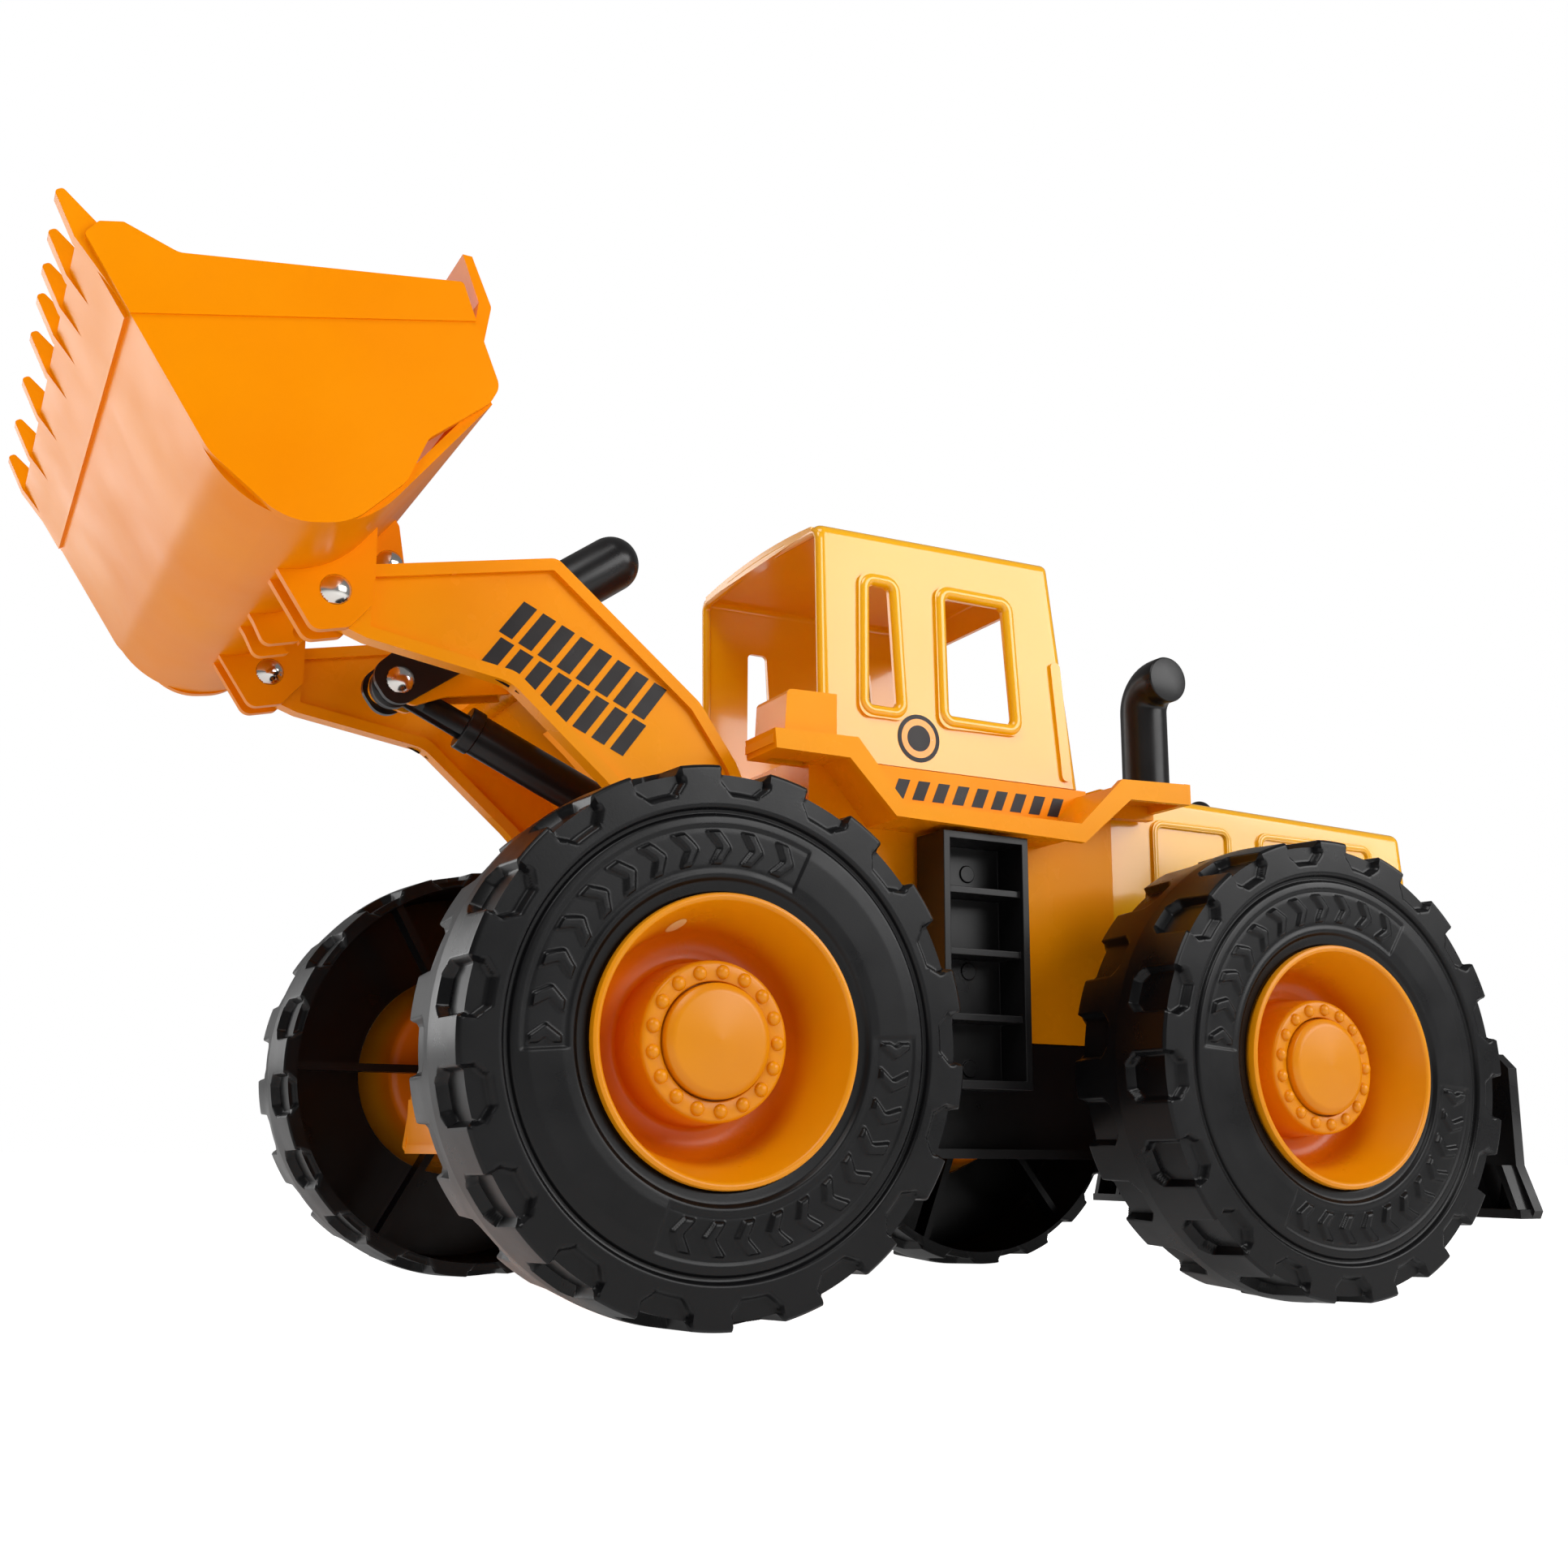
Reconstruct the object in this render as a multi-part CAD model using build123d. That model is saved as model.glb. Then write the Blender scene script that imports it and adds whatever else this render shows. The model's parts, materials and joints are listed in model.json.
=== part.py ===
from build123d import *
import math
import os

os.makedirs("parts", exist_ok=True)

# Toy wheel loader, millimetres. +X forward (towards the bucket), +Y to the left, +Z up.
# Pieces are drawn with X = 0 midway between the axles and Z = 0 on the ground. save() then moves
# them back by MID_LENGTH_X, so the origin is on the ground below the middle of the overall box.

# ---- driving dimensions ----
TYRE_RADIUS = 58.0
WHEELBASE = 170.4
AXLE_X = WHEELBASE / 2
AXLE_Z = TYRE_RADIUS
MID_LENGTH_X = 22.18        # middle of the overall length, forward of the axles' midpoint

AXLE_RADIUS = 2.5
RUNNING_GAP = 0.08          # radial clearance of a pin in its bore

TYRE_INNER_Y = 62.9         # inboard edge of the tread
TYRE_OUTER_Y = 97.7         # sidewall crown
TREAD_CREASE_Y = 80.3       # the tread is a double cone that meets in a crease here
SHOULDER_RADIUS = 57.3      # tread radius at both shoulders
POCKET_FLOOR = 55.6         # radius of the tread pockets' floors
POCKET_REACH = 13.6         # how far the pockets run from a shoulder towards the crease
POCKET_WIDTH = 11.6
TYRE_POCKETS = 17           # tread pockets round each shoulder
POCKET_PHASE = 8.2          # degrees from straight ahead up to the first pocket
RIM_BOLTS = 17              # bolt bumps round each drum
BOLT_CIRCLE = 14.4          # radius they stand on
DISH_HOLE_ANGLE = 74.0      # degrees from straight ahead up to the hole in the dish's wall
DISH_HOLE_CIRCLE = 24.8     # radius it stands on

BODY_HALF = 37.0            # half width of cab and hood
WALL_HALF = 39.5            # half width of body and chassis sides
DECK_HALF = 58.0            # half width over the running boards
CHASSIS_FLOOR = 34.5

ARM_PIVOT = (55.1, 101.5)          # (x, z) of the arms' pivot on the front frame
CYLINDER_PIVOT = (55.1, 114.4)     # (x, z) of the cylinder's base pin
BUCKET_PIN = (159.3, 158.5)        # (x, z) of the bucket's hinge
LEVER_PIN = (134.4, 150.0)         # (x, z) of the tilt lever's pivot on the arms
GRIP_END = (70.6, 197.2)           # (x, z) of the tip of the lever's grip
BUCKET_ROLL = 56.4                 # degrees the bucket floor is rolled back from level
LINK_PIN_LOCAL = (6.4, 28.6)       # link pin in the level bucket, from the bucket pin
BUCKET_HALF = 75.6                 # half width of the bucket shell
PIN_RADIUS = 2.0
ARM_MID_Y = 37.7                   # middle plane of each arm
ARM_LIP_HALF = 2.5                 # half thickness of an arm at its flanged edges


def turned(point, centre, degrees):
    """The (x, z) point turned about centre; positive lifts the +X side."""
    angle = math.radians(degrees)
    dx = point[0] - centre[0]
    dz = point[1] - centre[1]
    x = centre[0] + dx * math.cos(angle) - dz * math.sin(angle)
    z = centre[1] + dx * math.sin(angle) + dz * math.cos(angle)
    return (x, z)


def from_level_bucket(point):
    """World (x, z) of a point given in the level bucket, measured from its hinge."""
    shifted = (BUCKET_PIN[0] + point[0], BUCKET_PIN[1] + point[1])
    return turned(shifted, BUCKET_PIN, BUCKET_ROLL)


LINK_PIN = from_level_bucket(LINK_PIN_LOCAL)
# Lever, link, bucket and arms form a parallelogram, so the lever turns with the bucket.
LEVER_LINK_PIN = (LEVER_PIN[0] + LINK_PIN[0] - BUCKET_PIN[0],
                  LEVER_PIN[1] + LINK_PIN[1] - BUCKET_PIN[1])


# ---- small builders ----
def outline(corners, y=0.0):
    """Closed face in the XZ plane at y. A corner is (x, z) or (x, z, rounding radius)."""
    count = len(corners)
    spans = []
    for index, corner in enumerate(corners):
        here = Vector(corner[0], y, corner[1])
        if len(corner) == 2:
            spans.append((here, None, here))
            continue
        radius = corner[2]
        last = corners[index - 1]
        following = corners[(index + 1) % count]
        back = (Vector(last[0], y, last[1]) - here).normalized()
        ahead = (Vector(following[0], y, following[1]) - here).normalized()
        half = math.acos(max(-1.0, min(1.0, back.dot(ahead)))) / 2
        reach = radius / math.tan(half)
        centre = here + (back + ahead).normalized() * (radius / math.sin(half))
        middle = centre + (here - centre).normalized() * radius
        spans.append((here + back * reach, middle, here + ahead * reach))
    edges = []
    for index, (start, middle, end) in enumerate(spans):
        if middle is not None:
            edges.append(ThreePointArc(start, middle, end))
        next_start = spans[(index + 1) % count][0]
        if (next_start - end).length > 1e-6:
            edges.append(Line(end, next_start))
    return make_face(edges)


def prism(corners, y_low, y_high):
    """Outline in (x, z) carried from y_low to y_high."""
    return extrude(outline(corners, y_low), amount=y_high - y_low, dir=(0, 1, 0))


def block(x_low, x_high, y_low, y_high, z_low, z_high):
    size = (x_high - x_low, y_high - y_low, z_high - z_low)
    return Pos((x_low + x_high) / 2, (y_low + y_high) / 2, (z_low + z_high) / 2) * Box(*size)


def rod(radius, centre, y_low, y_high):
    """Cylinder along Y; centre is (x, z)."""
    place = Pos(centre[0], (y_low + y_high) / 2, centre[1]) * Rot(90, 0, 0)
    return place * Cylinder(radius, y_high - y_low)


def bar(start, end, radius):
    """Round bar between two (x, z) points on the centre plane."""
    run = Vector(end[0] - start[0], 0, end[1] - start[1])
    plane = Plane(origin=(start[0], 0, start[1]), z_dir=run)
    return extrude(plane * Circle(radius), amount=run.length)


def both_sides(shape):
    return shape + mirror(shape, about=Plane.XZ)


def pair_of(shape):
    """The shape and its mirror image as two separate solids."""
    return Compound(children=[shape, mirror(shape, about=Plane.XZ)])


def spun(points, x):
    """Solid of revolution about the axle at x; points are (radius, y)."""
    profile = make_face(Polyline(*[(radius, y, 0) for radius, y in points], close=True))
    return Pos(x, 0, AXLE_Z) * revolve(profile, axis=Axis.Y)


def domed_rivet(centre, y_low, y_high, head_radius=3.6, head_height=1.7):
    """Rivet along Y with a domed head outside each end of its shank."""
    shank = rod(PIN_RADIUS, centre, y_low, y_high)
    curve = (head_radius ** 2 + head_height ** 2) / (2 * head_height)
    rivet = shank
    for y, direction in ((y_low, -1), (y_high, 1)):
        ball = Pos(centre[0], y + direction * (head_height - curve), centre[1]) * Sphere(curve)
        keep = block(centre[0] - 9, centre[0] + 9, min(y, y + direction * 9),
                     max(y, y + direction * 9), centre[1] - 9, centre[1] + 9)
        rivet = rivet + (ball & keep)
    return rivet


def band(line, depth):
    """Outline that follows a polyline of (x, z) and lies depth below it."""
    below = [(x, z - depth) for x, z in reversed(line)]
    return list(line) + below


# ---- wheels ----
def tyre(x):
    """Left tyre: hollow shell, open inboard, with a hub sleeve and six spokes."""
    tread_wall = 53.4
    side_wall = 93.2
    shell = spun([(tread_wall, TYRE_INNER_Y), (SHOULDER_RADIUS, TYRE_INNER_Y),
                  (TYRE_RADIUS, TREAD_CREASE_Y), (SHOULDER_RADIUS, 96.8), (56.8, 97.3),
                  (47.6, 97.3), (47.0, 96.1), (46.4, 96.1),
                  (45.8, 97.5), (40.0, TYRE_OUTER_Y), (33.0, 97.3), (31.2, 96.4), (29.6, 96.0),
                  (29.6, side_wall), (tread_wall, side_wall)], x)
    sleeve = spun([(AXLE_RADIUS + RUNNING_GAP, 65.5), (7.0, 65.5), (7.0, 74.8),
                   (AXLE_RADIUS + RUNNING_GAP, 74.8)], x)
    body = shell + sleeve
    for index in range(6):
        spoke = block(6.0, tread_wall + 1.0, -1.1, 1.1, 68.0, 74.6)
        spoke = Rot(90, 0, 0) * Rot(0, 0, 60 * index) * mirror(spoke, about=Plane.XY)
        body = body + Pos(x, 0, AXLE_Z) * spoke
    return body - tyre_pockets(x)


def tyre_pockets(x):
    """Octagonal pockets that wrap over the outboard shoulder, and the inboard row between them."""
    tread_pocket = octagon(2 * POCKET_REACH, POCKET_WIDTH)
    tread_pocket = extrude(Plane.YZ.offset(POCKET_FLOOR) * tread_pocket, amount=6)
    side_pocket = Plane.XZ.offset(-95.4) * Pos(TYRE_RADIUS, 0) * octagon(15.0, POCKET_WIDTH)
    side_pocket = extrude(side_pocket, amount=-6)
    cutters = []
    pitch = 360 / TYRE_POCKETS
    for index in range(TYRE_POCKETS):
        angle = -POCKET_PHASE - pitch * index
        turn = Pos(x, 0, AXLE_Z) * Rot(0, angle, 0)
        cutters.append(turn * Pos(0, TYRE_OUTER_Y, 0) * tread_pocket)
        cutters.append(turn * side_pocket)
        between = Pos(x, 0, AXLE_Z) * Rot(0, angle + pitch / 2, 0)
        cutters.append(between * Pos(0, TYRE_INNER_Y, 0) * tread_pocket)
    return cutters


def octagon(length, width):
    """Rectangle with its four corners cut off."""
    half_length = length / 2
    half_width = width / 2
    cut = width * 0.24
    points = []
    for sign_x, sign_y, first in ((1, 1, 0), (-1, 1, 1), (-1, -1, 0), (1, -1, 1)):
        near_side = (sign_x * half_length, sign_y * (half_width - cut))
        near_end = (sign_x * (half_length - cut), sign_y * half_width)
        points += [near_end, near_side] if first else [near_side, near_end]
    return make_face(Polyline(*points, close=True))


def rim(x):
    """Left rim: deep bowl with a raised drum, bolt bumps and a hole in the bowl's wall."""
    bore = AXLE_RADIUS + RUNNING_GAP
    cup = spun([(bore, 75.0), (5.2, 75.0), (5.2, 84.4), (14.6, 84.4), (15.2, 75.0), (24.0, 75.0),
                (26.0, 78.6), (29.3, 93.0), (29.3, 97.6), (28.8, 98.1), (28.0, 98.1), (27.4, 97.4),
                (24.2, 81.4), (22.8, 78.6), (20.6, 77.3), (18.2, 77.2), (17.4, 78.2), (16.8, 89.8),
                (16.0, 90.6), (12.3, 90.6), (12.3, 88.4), (9.0, 88.4), (9.0, 86.4),
                (bore, 86.4)], x)
    for index in range(RIM_BOLTS):
        angle = math.radians(360 / RIM_BOLTS * (index + 0.5))
        centre = (x + BOLT_CIRCLE * math.cos(angle), AXLE_Z + BOLT_CIRCLE * math.sin(angle))
        cup = cup + rod(1.35, centre, 90.0, 91.6)
    hole_angle = math.radians(DISH_HOLE_ANGLE)
    hole = (x + DISH_HOLE_CIRCLE * math.cos(hole_angle),
            AXLE_Z + DISH_HOLE_CIRCLE * math.sin(hole_angle))
    return cup - rod(1.9, hole, 70.0, 86.0)


def hub_cap(x):
    """Left hub cap: hollow domed disc that covers the axle's end."""
    return spun([(0, 91.4), (9.0, 90.9), (10.6, 90.0), (10.6, 88.4), (12.0, 88.4), (12.0, 91.2),
                 (11.4, 92.2), (9.0, 93.0), (5.0, 93.5), (0, 93.7)], x)


def axle(x):
    return rod(AXLE_RADIUS, (x, AXLE_Z), -89.6, 89.6)


def axle_nuts():
    """Four push nuts, one on each axle end, inside the hub caps."""
    nuts = []
    for x in (AXLE_X, -AXLE_X):
        nut = spun([(AXLE_RADIUS, 86.6), (4.8, 86.6), (4.0, 88.0), (AXLE_RADIUS, 88.0)], x)
        nuts += [nut, mirror(nut, about=Plane.XZ)]
    return Compound(children=nuts)


# ---- frame and chassis ----
def axle_tube(x):
    return rod(7.0, (x, AXLE_Z), -62.4, 62.4)


def axle_bore(x):
    return rod(AXLE_RADIUS + RUNNING_GAP, (x, AXLE_Z), -63, 63)


def front_frame():
    """Two side cheeks joined by a floor, a low nose wall, a rear wall and the axle tube."""
    nose = 118.5
    cheek = prism([(36.2, CHASSIS_FLOOR), (nose, CHASSIS_FLOOR, 2), (nose - 2.0, 51.0, 3),
                   (106.0, 61.0, 8), (92.0, 78.0, 10), (70.0, 94.0, 8), (63.5, 121.0, 7),
                   (47.0, 121.0, 7), (42.0, 100.0, 6), (36.2, 96.0)], 24.0, 26.6)
    frame = both_sides(cheek)
    frame = frame + block(36.2, nose - 0.4, -24.5, 24.5, CHASSIS_FLOOR, CHASSIS_FLOOR + 2.4)
    frame = frame + block(nose - 3.0, nose - 0.6, -24.5, 24.5, CHASSIS_FLOOR, 48.0)
    frame = frame + block(36.2, 38.8, -34.0, 34.0, CHASSIS_FLOOR, 94.0)
    frame = frame + axle_tube(AXLE_X)
    frame = frame + both_sides(rod(6.5, ARM_PIVOT, 24.0, 34.4))
    frame = frame - axle_bore(AXLE_X)
    frame = frame - rod(PIN_RADIUS + 0.5 + RUNNING_GAP, ARM_PIVOT, -40, 40)
    frame = frame - rod(PIN_RADIUS + RUNNING_GAP, CYLINDER_PIVOT, -40, 40)
    return frame - screw_holes(FRAME_SCREWS)


# Self-tapping screws along X: (x of the head's seat, y, z, direction the shank runs).
FRAME_SCREWS = [(38.8, y, z, -1) for y in (-30.0, 30.0) for z in (48.0, 86.0)]
BUMPER_SCREWS = [(-160.4, y, 50.0, 1) for y in (-16.0, 16.0)]
SCREW_RADIUS = 1.5
SCREW_LENGTH = 7.0


def screw_holes(screws):
    holes = []
    for x, y, z, _ in screws:
        holes.append(Pos(x, y, z) * Rot(0, 90, 0) * Cylinder(SCREW_RADIUS + 0.05, 20))
    return holes


def body_screws():
    """Pan-head screws that join frame, chassis and bumper."""
    screws = []
    for x, y, z, direction in FRAME_SCREWS + BUMPER_SCREWS:
        turn = Rot(0, 90 * direction, 0)
        shank = Pos(0, 0, SCREW_LENGTH / 2) * Cylinder(SCREW_RADIUS, SCREW_LENGTH)
        head = Pos(0, 0, -0.9) * Cylinder(3.0, 1.8)
        head = fillet(head.edges().filter_by(GeomType.CIRCLE).sort_by(Axis.Z)[0], 1.0)
        recess = Pos(0, 0, -1.5) * (Box(3.4, 0.8, 1.4) + Box(0.8, 3.4, 1.4))
        screws.append(Pos(x, y, z) * turn * ((shank + head) - recess))
    return Compound(children=screws)


def chassis_frame():
    """Wide trough between the wheels, with a narrow rail box running back over the rear axle."""
    floor = CHASSIS_FLOOR
    wall_top = 64.2
    mid = block(-61.0, 36.0, -WALL_HALF, WALL_HALF, floor, wall_top)
    mid = mid - block(-58.6, 33.6, -37.1, 37.1, floor + 2.4, wall_top + 1)
    mid = mid + block(-61.0, 36.0, -46.0, 46.0, floor, floor + 2.4)
    rails = both_sides(prism([(-156.8, floor), (-58.7, floor), (-58.7, 82.0), (-150.0, 82.0, 6),
                              (-156.8, 76.0, 4)], 24.0, 26.6))
    rails = rails + block(-156.8, -58.7, -24.5, 24.5, floor, floor + 2.4)
    rails = rails + block(-156.8, -154.2, -24.5, 24.5, floor, 76.0)
    posts = both_sides(block(33.4, 36.0, 20.0, 36.9, floor, 92.0))
    chassis = mid + rails + posts + axle_tube(-AXLE_X)
    for y in (-16.0, 16.0):
        chassis = chassis + Pos(-151.0, y, 50.0) * Rot(0, 90, 0) * Cylinder(3.6, 8.0)
    for _, y, z, _ in FRAME_SCREWS:
        chassis = chassis + Pos(32.0, y, z) * Rot(0, 90, 0) * Cylinder(3.4, 8.0)
    chassis = chassis - axle_bore(-AXLE_X)
    chassis = chassis - screw_holes(FRAME_SCREWS)
    return chassis - screw_holes(BUMPER_SCREWS)


def rear_bumper():
    """Cross plate behind the rear wheels with a ribbed, flared foot."""
    back = -160.4
    front = -157.0
    top = 64.0
    waist = 34.0
    foot = 20.0
    plate = Plane.YZ.offset(back) * make_face(Polyline(
        (-87.5, waist), (-92.2, foot + 2), (-91.2, foot), (91.2, foot), (92.2, foot + 2),
        (87.5, waist), (87.5, top - 4), (83.5, top), (-83.5, top), (-87.5, top - 4), close=True))
    bumper = extrude(plate, amount=front - back)
    shelf = block(front - 0.4, front + 4.6, -91.4, 91.4, foot, foot + 2.4)
    bumper = bumper + shelf
    for y in (-88.0, -76.0, 76.0, 88.0):
        lean = 2.4 if y > 0 else -2.4
        rib = Plane.YZ.offset(front - 0.4) * make_face(Polyline(
            (y - lean - 1.0, waist), (y - lean + 1.0, waist), (y + lean + 1.0, foot),
            (y + lean - 1.0, foot), close=True))
        bumper = bumper + extrude(rib, amount=5.0)
    pockets = []
    for side in (-1, 1):
        for centre in (64.0, 82.0):
            pocket = Plane.YZ.offset(front - 2.2) * make_face(Polyline(
                (side * (centre + 1.5), waist), (side * (centre + 5.0), foot + 2.6),
                (side * (centre - 1.5), foot + 2.6), close=True))
            pockets.append(extrude(pocket, amount=3.0))
    return bumper - pockets - screw_holes(BUMPER_SCREWS)


# ---- body ----
LIP_TOP = [(55.3, 136.4), (31.9, 136.8), (18.6, 121.7), (-36.5, 121.6), (-50.7, 135.3),
           (-74.4, 136.3)]
LIP_BOTTOM = [(54.8, 131.4), (34.3, 131.3), (20.9, 117.9), (-37.6, 116.6), (-53.5, 130.0),
              (-74.4, 130.6)]


def deck_body():
    """Stepped running boards with a hanging lip, the cab plinth and the body sides."""
    plate_top = [(x, z - 1.4) for x, z in LIP_TOP]
    board = prism(band(plate_top, 2.2), 41.6, DECK_HALF - 1.0)
    inner_board = prism(band([(35.9, plate_top[1][1])] + plate_top[1:5], 2.2), 34.0, 42.0)
    lip = prism(LIP_TOP + LIP_BOTTOM[::-1], DECK_HALF - 2.0, DECK_HALF)
    front_edge = prism([(55.3, 136.4), (53.3, 136.4), (52.8, 131.4), (54.8, 131.4)], 41.6, DECK_HALF)
    rear_edge = block(-74.4, -72.4, 38.8, DECK_HALF, 130.6, 136.3)
    rear_inner = prism(band(plate_top[4:], 6.0), 38.8, 42.0)
    box = prism([(35.0, 133.0), (50.0, 133.0), (49.2, 148.4, 1.5), (35.0, 148.8)], 35.6, 52.4)
    box = box - prism([(35.0, 131.0), (47.8, 131.0), (47.0, 146.4), (36.8, 146.8), (36.8, 131.0)],
                      37.6, 50.4)
    side = board + inner_board + lip + front_edge + rear_edge + rear_inner + box
    wall = block(-61.0, 36.0, 37.1, WALL_HALF, 64.6, 118.4)
    wall = wall + prism([(-61.0, 118.0), (36.0, 118.0), (36.0, 134.0), (31.0, 134.0), (19.0, 119.5),
                         (-37.0, 119.0), (-51.0, 132.5), (-61.0, 133.0)], 37.1, WALL_HALF)
    plinth_side = prism([(-54.0, 118.0), (33.4, 118.0), (33.4, 136.0), (-54.0, 136.0)], 35.2, 37.6)
    side = side + wall + plinth_side
    deck = both_sides(side)
    deck = deck + block(-54.0, 35.9, -37.6, 37.6, 133.6, 136.0)
    deck = deck + block(-61.0, -58.6, -WALL_HALF, WALL_HALF, 86.0, 133.0)
    deck = deck + block(-61.0, -53.0, -38.0, 38.0, 130.6, 133.0)
    front_wall = block(33.4, 36.0, -WALL_HALF, WALL_HALF, 98.0, 134.0)
    seat = prism([(-38.0, 135.0), (-12.0, 135.0), (-12.0, 142.0, 3), (-28.0, 141.0, 3),
                  (-31.0, 150.0, 3), (-39.0, 150.0, 3)], -14.0, 14.0)
    return deck + front_wall + seat


def ladder(side):
    """Ladder on the body side: an open tray with four rungs, held off by two bosses."""
    y_back = 42.0
    y_face = 55.0
    x_low = -21.0
    x_high = 5.2
    top = 116.6
    low = 51.5
    tray = block(x_low, x_high, y_back, y_face, low, top)
    tray = tray - block(x_low + 2.0, x_high - 2.0, y_back + 2.0, y_face + 1, low + 2.2, top - 2.0)
    for z in (69.4, 85.9, 101.7):
        tray = tray + block(x_low + 1, x_high - 1, y_back + 1, y_face - 1.4, z - 0.9, z + 0.9)
    for z in (60.0, 110.0):
        tray = tray + rod(3.2, (-8.0, z), WALL_HALF + 0.1, y_back + 1)
    for z in (57.0, 82.0, 107.6):
        tray = tray + rod(2.2, (-9.0, z), y_back + 1.5, y_back + 2.5)
    return tray if side > 0 else mirror(tray, about=Plane.XZ)


CAB_SIDE = [(31.0, 136.4), (33.0, 201.0, 3), (-43.8, 202.2, 2), (-52.7, 136.4)]
SKIN = 1.1                  # thickness of the pressed-steel cab and hood
ROOF_ARC_RADIUS = 281.0     # the roof's front edge is arched
SMALL_WINDOW = [(7.9, 152.3), (10.4, 185.7), (16.8, 185.7), (16.6, 152.1)]
LARGE_WINDOW = [(-29.6, 152.6), (-26.8, 185.9), (-7.5, 185.7), (-8.4, 151.9)]


def grown(corners, amount, radius):
    """The quadrilateral pushed out from its middle, with rounded corners."""
    centre_x = sum(x for x, _ in corners) / len(corners)
    centre_z = sum(z for _, z in corners) / len(corners)
    pushed = []
    for x, z in corners:
        pushed.append((x + math.copysign(amount, x - centre_x),
                       z + math.copysign(amount, z - centre_z), radius))
    return pushed


def cab_shell():
    """Pressed-steel cab: open front, large rear opening, rimmed side windows, crowned roof."""
    shell = prism(CAB_SIDE, -BODY_HALF, BODY_HALF)
    edges = shell.edges().filter_by(GeomType.LINE).filter_by(
        lambda edge: abs(abs(edge.center().Y) - BODY_HALF) < 0.01 and edge.center().Z > 138
        and edge.center().X < 30)
    shell = fillet(edges, 3.0)
    inner = prism([(34.0, 130.0), (35.0, 199.8), (-42.8, 201.0, 1.2), (-51.5, 135.0)],
                  SKIN - BODY_HALF, BODY_HALF - SKIN)
    inner_edges = inner.edges().filter_by(GeomType.LINE).filter_by(
        lambda edge: abs(abs(edge.center().Y) - BODY_HALF + SKIN) < 0.01 and edge.center().Z > 138
        and edge.center().X < 30)
    shell = shell - fillet(inner_edges, 2.0)
    crown = prism([(29.4, 199.4), (32.6, 199.4), (32.6, 202.6), (29.4, 202.6)], -33.5, 33.5)
    sag = Pos(32.0, 0, 202.6 - ROOF_ARC_RADIUS) * Rot(0, 90, 0) * Cylinder(ROOF_ARC_RADIUS, 12.0)
    shell = shell + (crown & sag)
    for corners in (SMALL_WINDOW, LARGE_WINDOW):
        ring = prism(grown(corners, 3.4, 3.6), BODY_HALF - 0.4, BODY_HALF + 0.9)
        ring = ring - prism(grown(corners, 1.5, 2.6), BODY_HALF + 0.1, BODY_HALF + 2)
        shell = shell + both_sides(ring)
    for corners in (SMALL_WINDOW, LARGE_WINDOW):
        shell = shell - prism(grown(corners, 0, 1.6), -BODY_HALF - 3, BODY_HALF + 3)
    rib = prism([(-46.0, 138.2, 1.5), (-42.6, 172.4, 1.5), (-45.9, 172.4, 1.5), (-49.3, 138.2, 1.5)],
                BODY_HALF - 0.4, BODY_HALF + 0.9)
    shell = shell + both_sides(rib)
    rear_opening = Plane.YZ.offset(-60) * Pos(0, 170.0) * RectangleRounded(52, 46, 4)
    return shell - extrude(rear_opening, amount=30)


HOOD_FRONT_TOP = (-61.4, 138.2)
HOOD_REAR_TOP = (-178.4, 135.5)
STACK_PLACE = (-92.9, 17.4)         # (x, y) of the exhaust stack
PLUG_PLACE = (-103.6, 28.4)         # (x, y) of the small domed plug beside it


def hood_top(x):
    """Height of the sloping hood top at x."""
    share = (x - HOOD_FRONT_TOP[0]) / (HOOD_REAR_TOP[0] - HOOD_FRONT_TOP[0])
    return HOOD_FRONT_TOP[1] + share * (HOOD_REAR_TOP[1] - HOOD_FRONT_TOP[1])


def hood_shell():
    """Pressed-steel hood: box open below, with raised panel frames and rear louvres."""
    low = 66.0
    shell = prism([(HOOD_FRONT_TOP[0], low), HOOD_FRONT_TOP, HOOD_REAR_TOP + (3.0,),
                   (-179.8, 121.0), (-181.0, low)], -BODY_HALF, BODY_HALF)
    long_edges = shell.edges().filter_by(GeomType.LINE).filter_by(
        lambda edge: abs(abs(edge.center().Y) - BODY_HALF) < 0.01 and edge.center().X < -62
        and edge.center().Z > low + 1)
    shell = fillet(long_edges, 3.0)
    cavity = prism([(-58.0, low - 1), (-58.0, 137.0), (-177.2, 134.3, 2), (-178.6, 121.0),
                    (-179.8, low - 1)], SKIN - BODY_HALF, BODY_HALF - SKIN)
    shell = shell - cavity
    for x_high, x_low in ((-77.4, -107.2), (-117.6, -164.4)):
        corners = [(x_low + 2, 94.0), (x_low + 2, 128.4), (x_high - 2, 128.4), (x_high - 2, 94.0)]
        frame = prism(grown(corners, 2.0, 3.4), BODY_HALF - 0.4, BODY_HALF + 0.9)
        frame = frame - prism(grown(corners, 0, 1.8), BODY_HALF + 0.1, BODY_HALF + 2)
        shell = shell + both_sides(frame)
    for z in (78.0, 86.0, 94.0, 102.0, 110.0):
        louvre = prism([(-179.9, z), (-179.9, z + 3.6), (-181.9, z + 0.6, 0.3)], -24.0, 24.0)
        shell = shell + louvre
    shell = shell - Pos(PLUG_PLACE[0], PLUG_PLACE[1], 136) * Cylinder(1.55, 8)
    return shell - Pos(STACK_PLACE[0], STACK_PLACE[1], 136) * Cylinder(4.05, 8)


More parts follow.
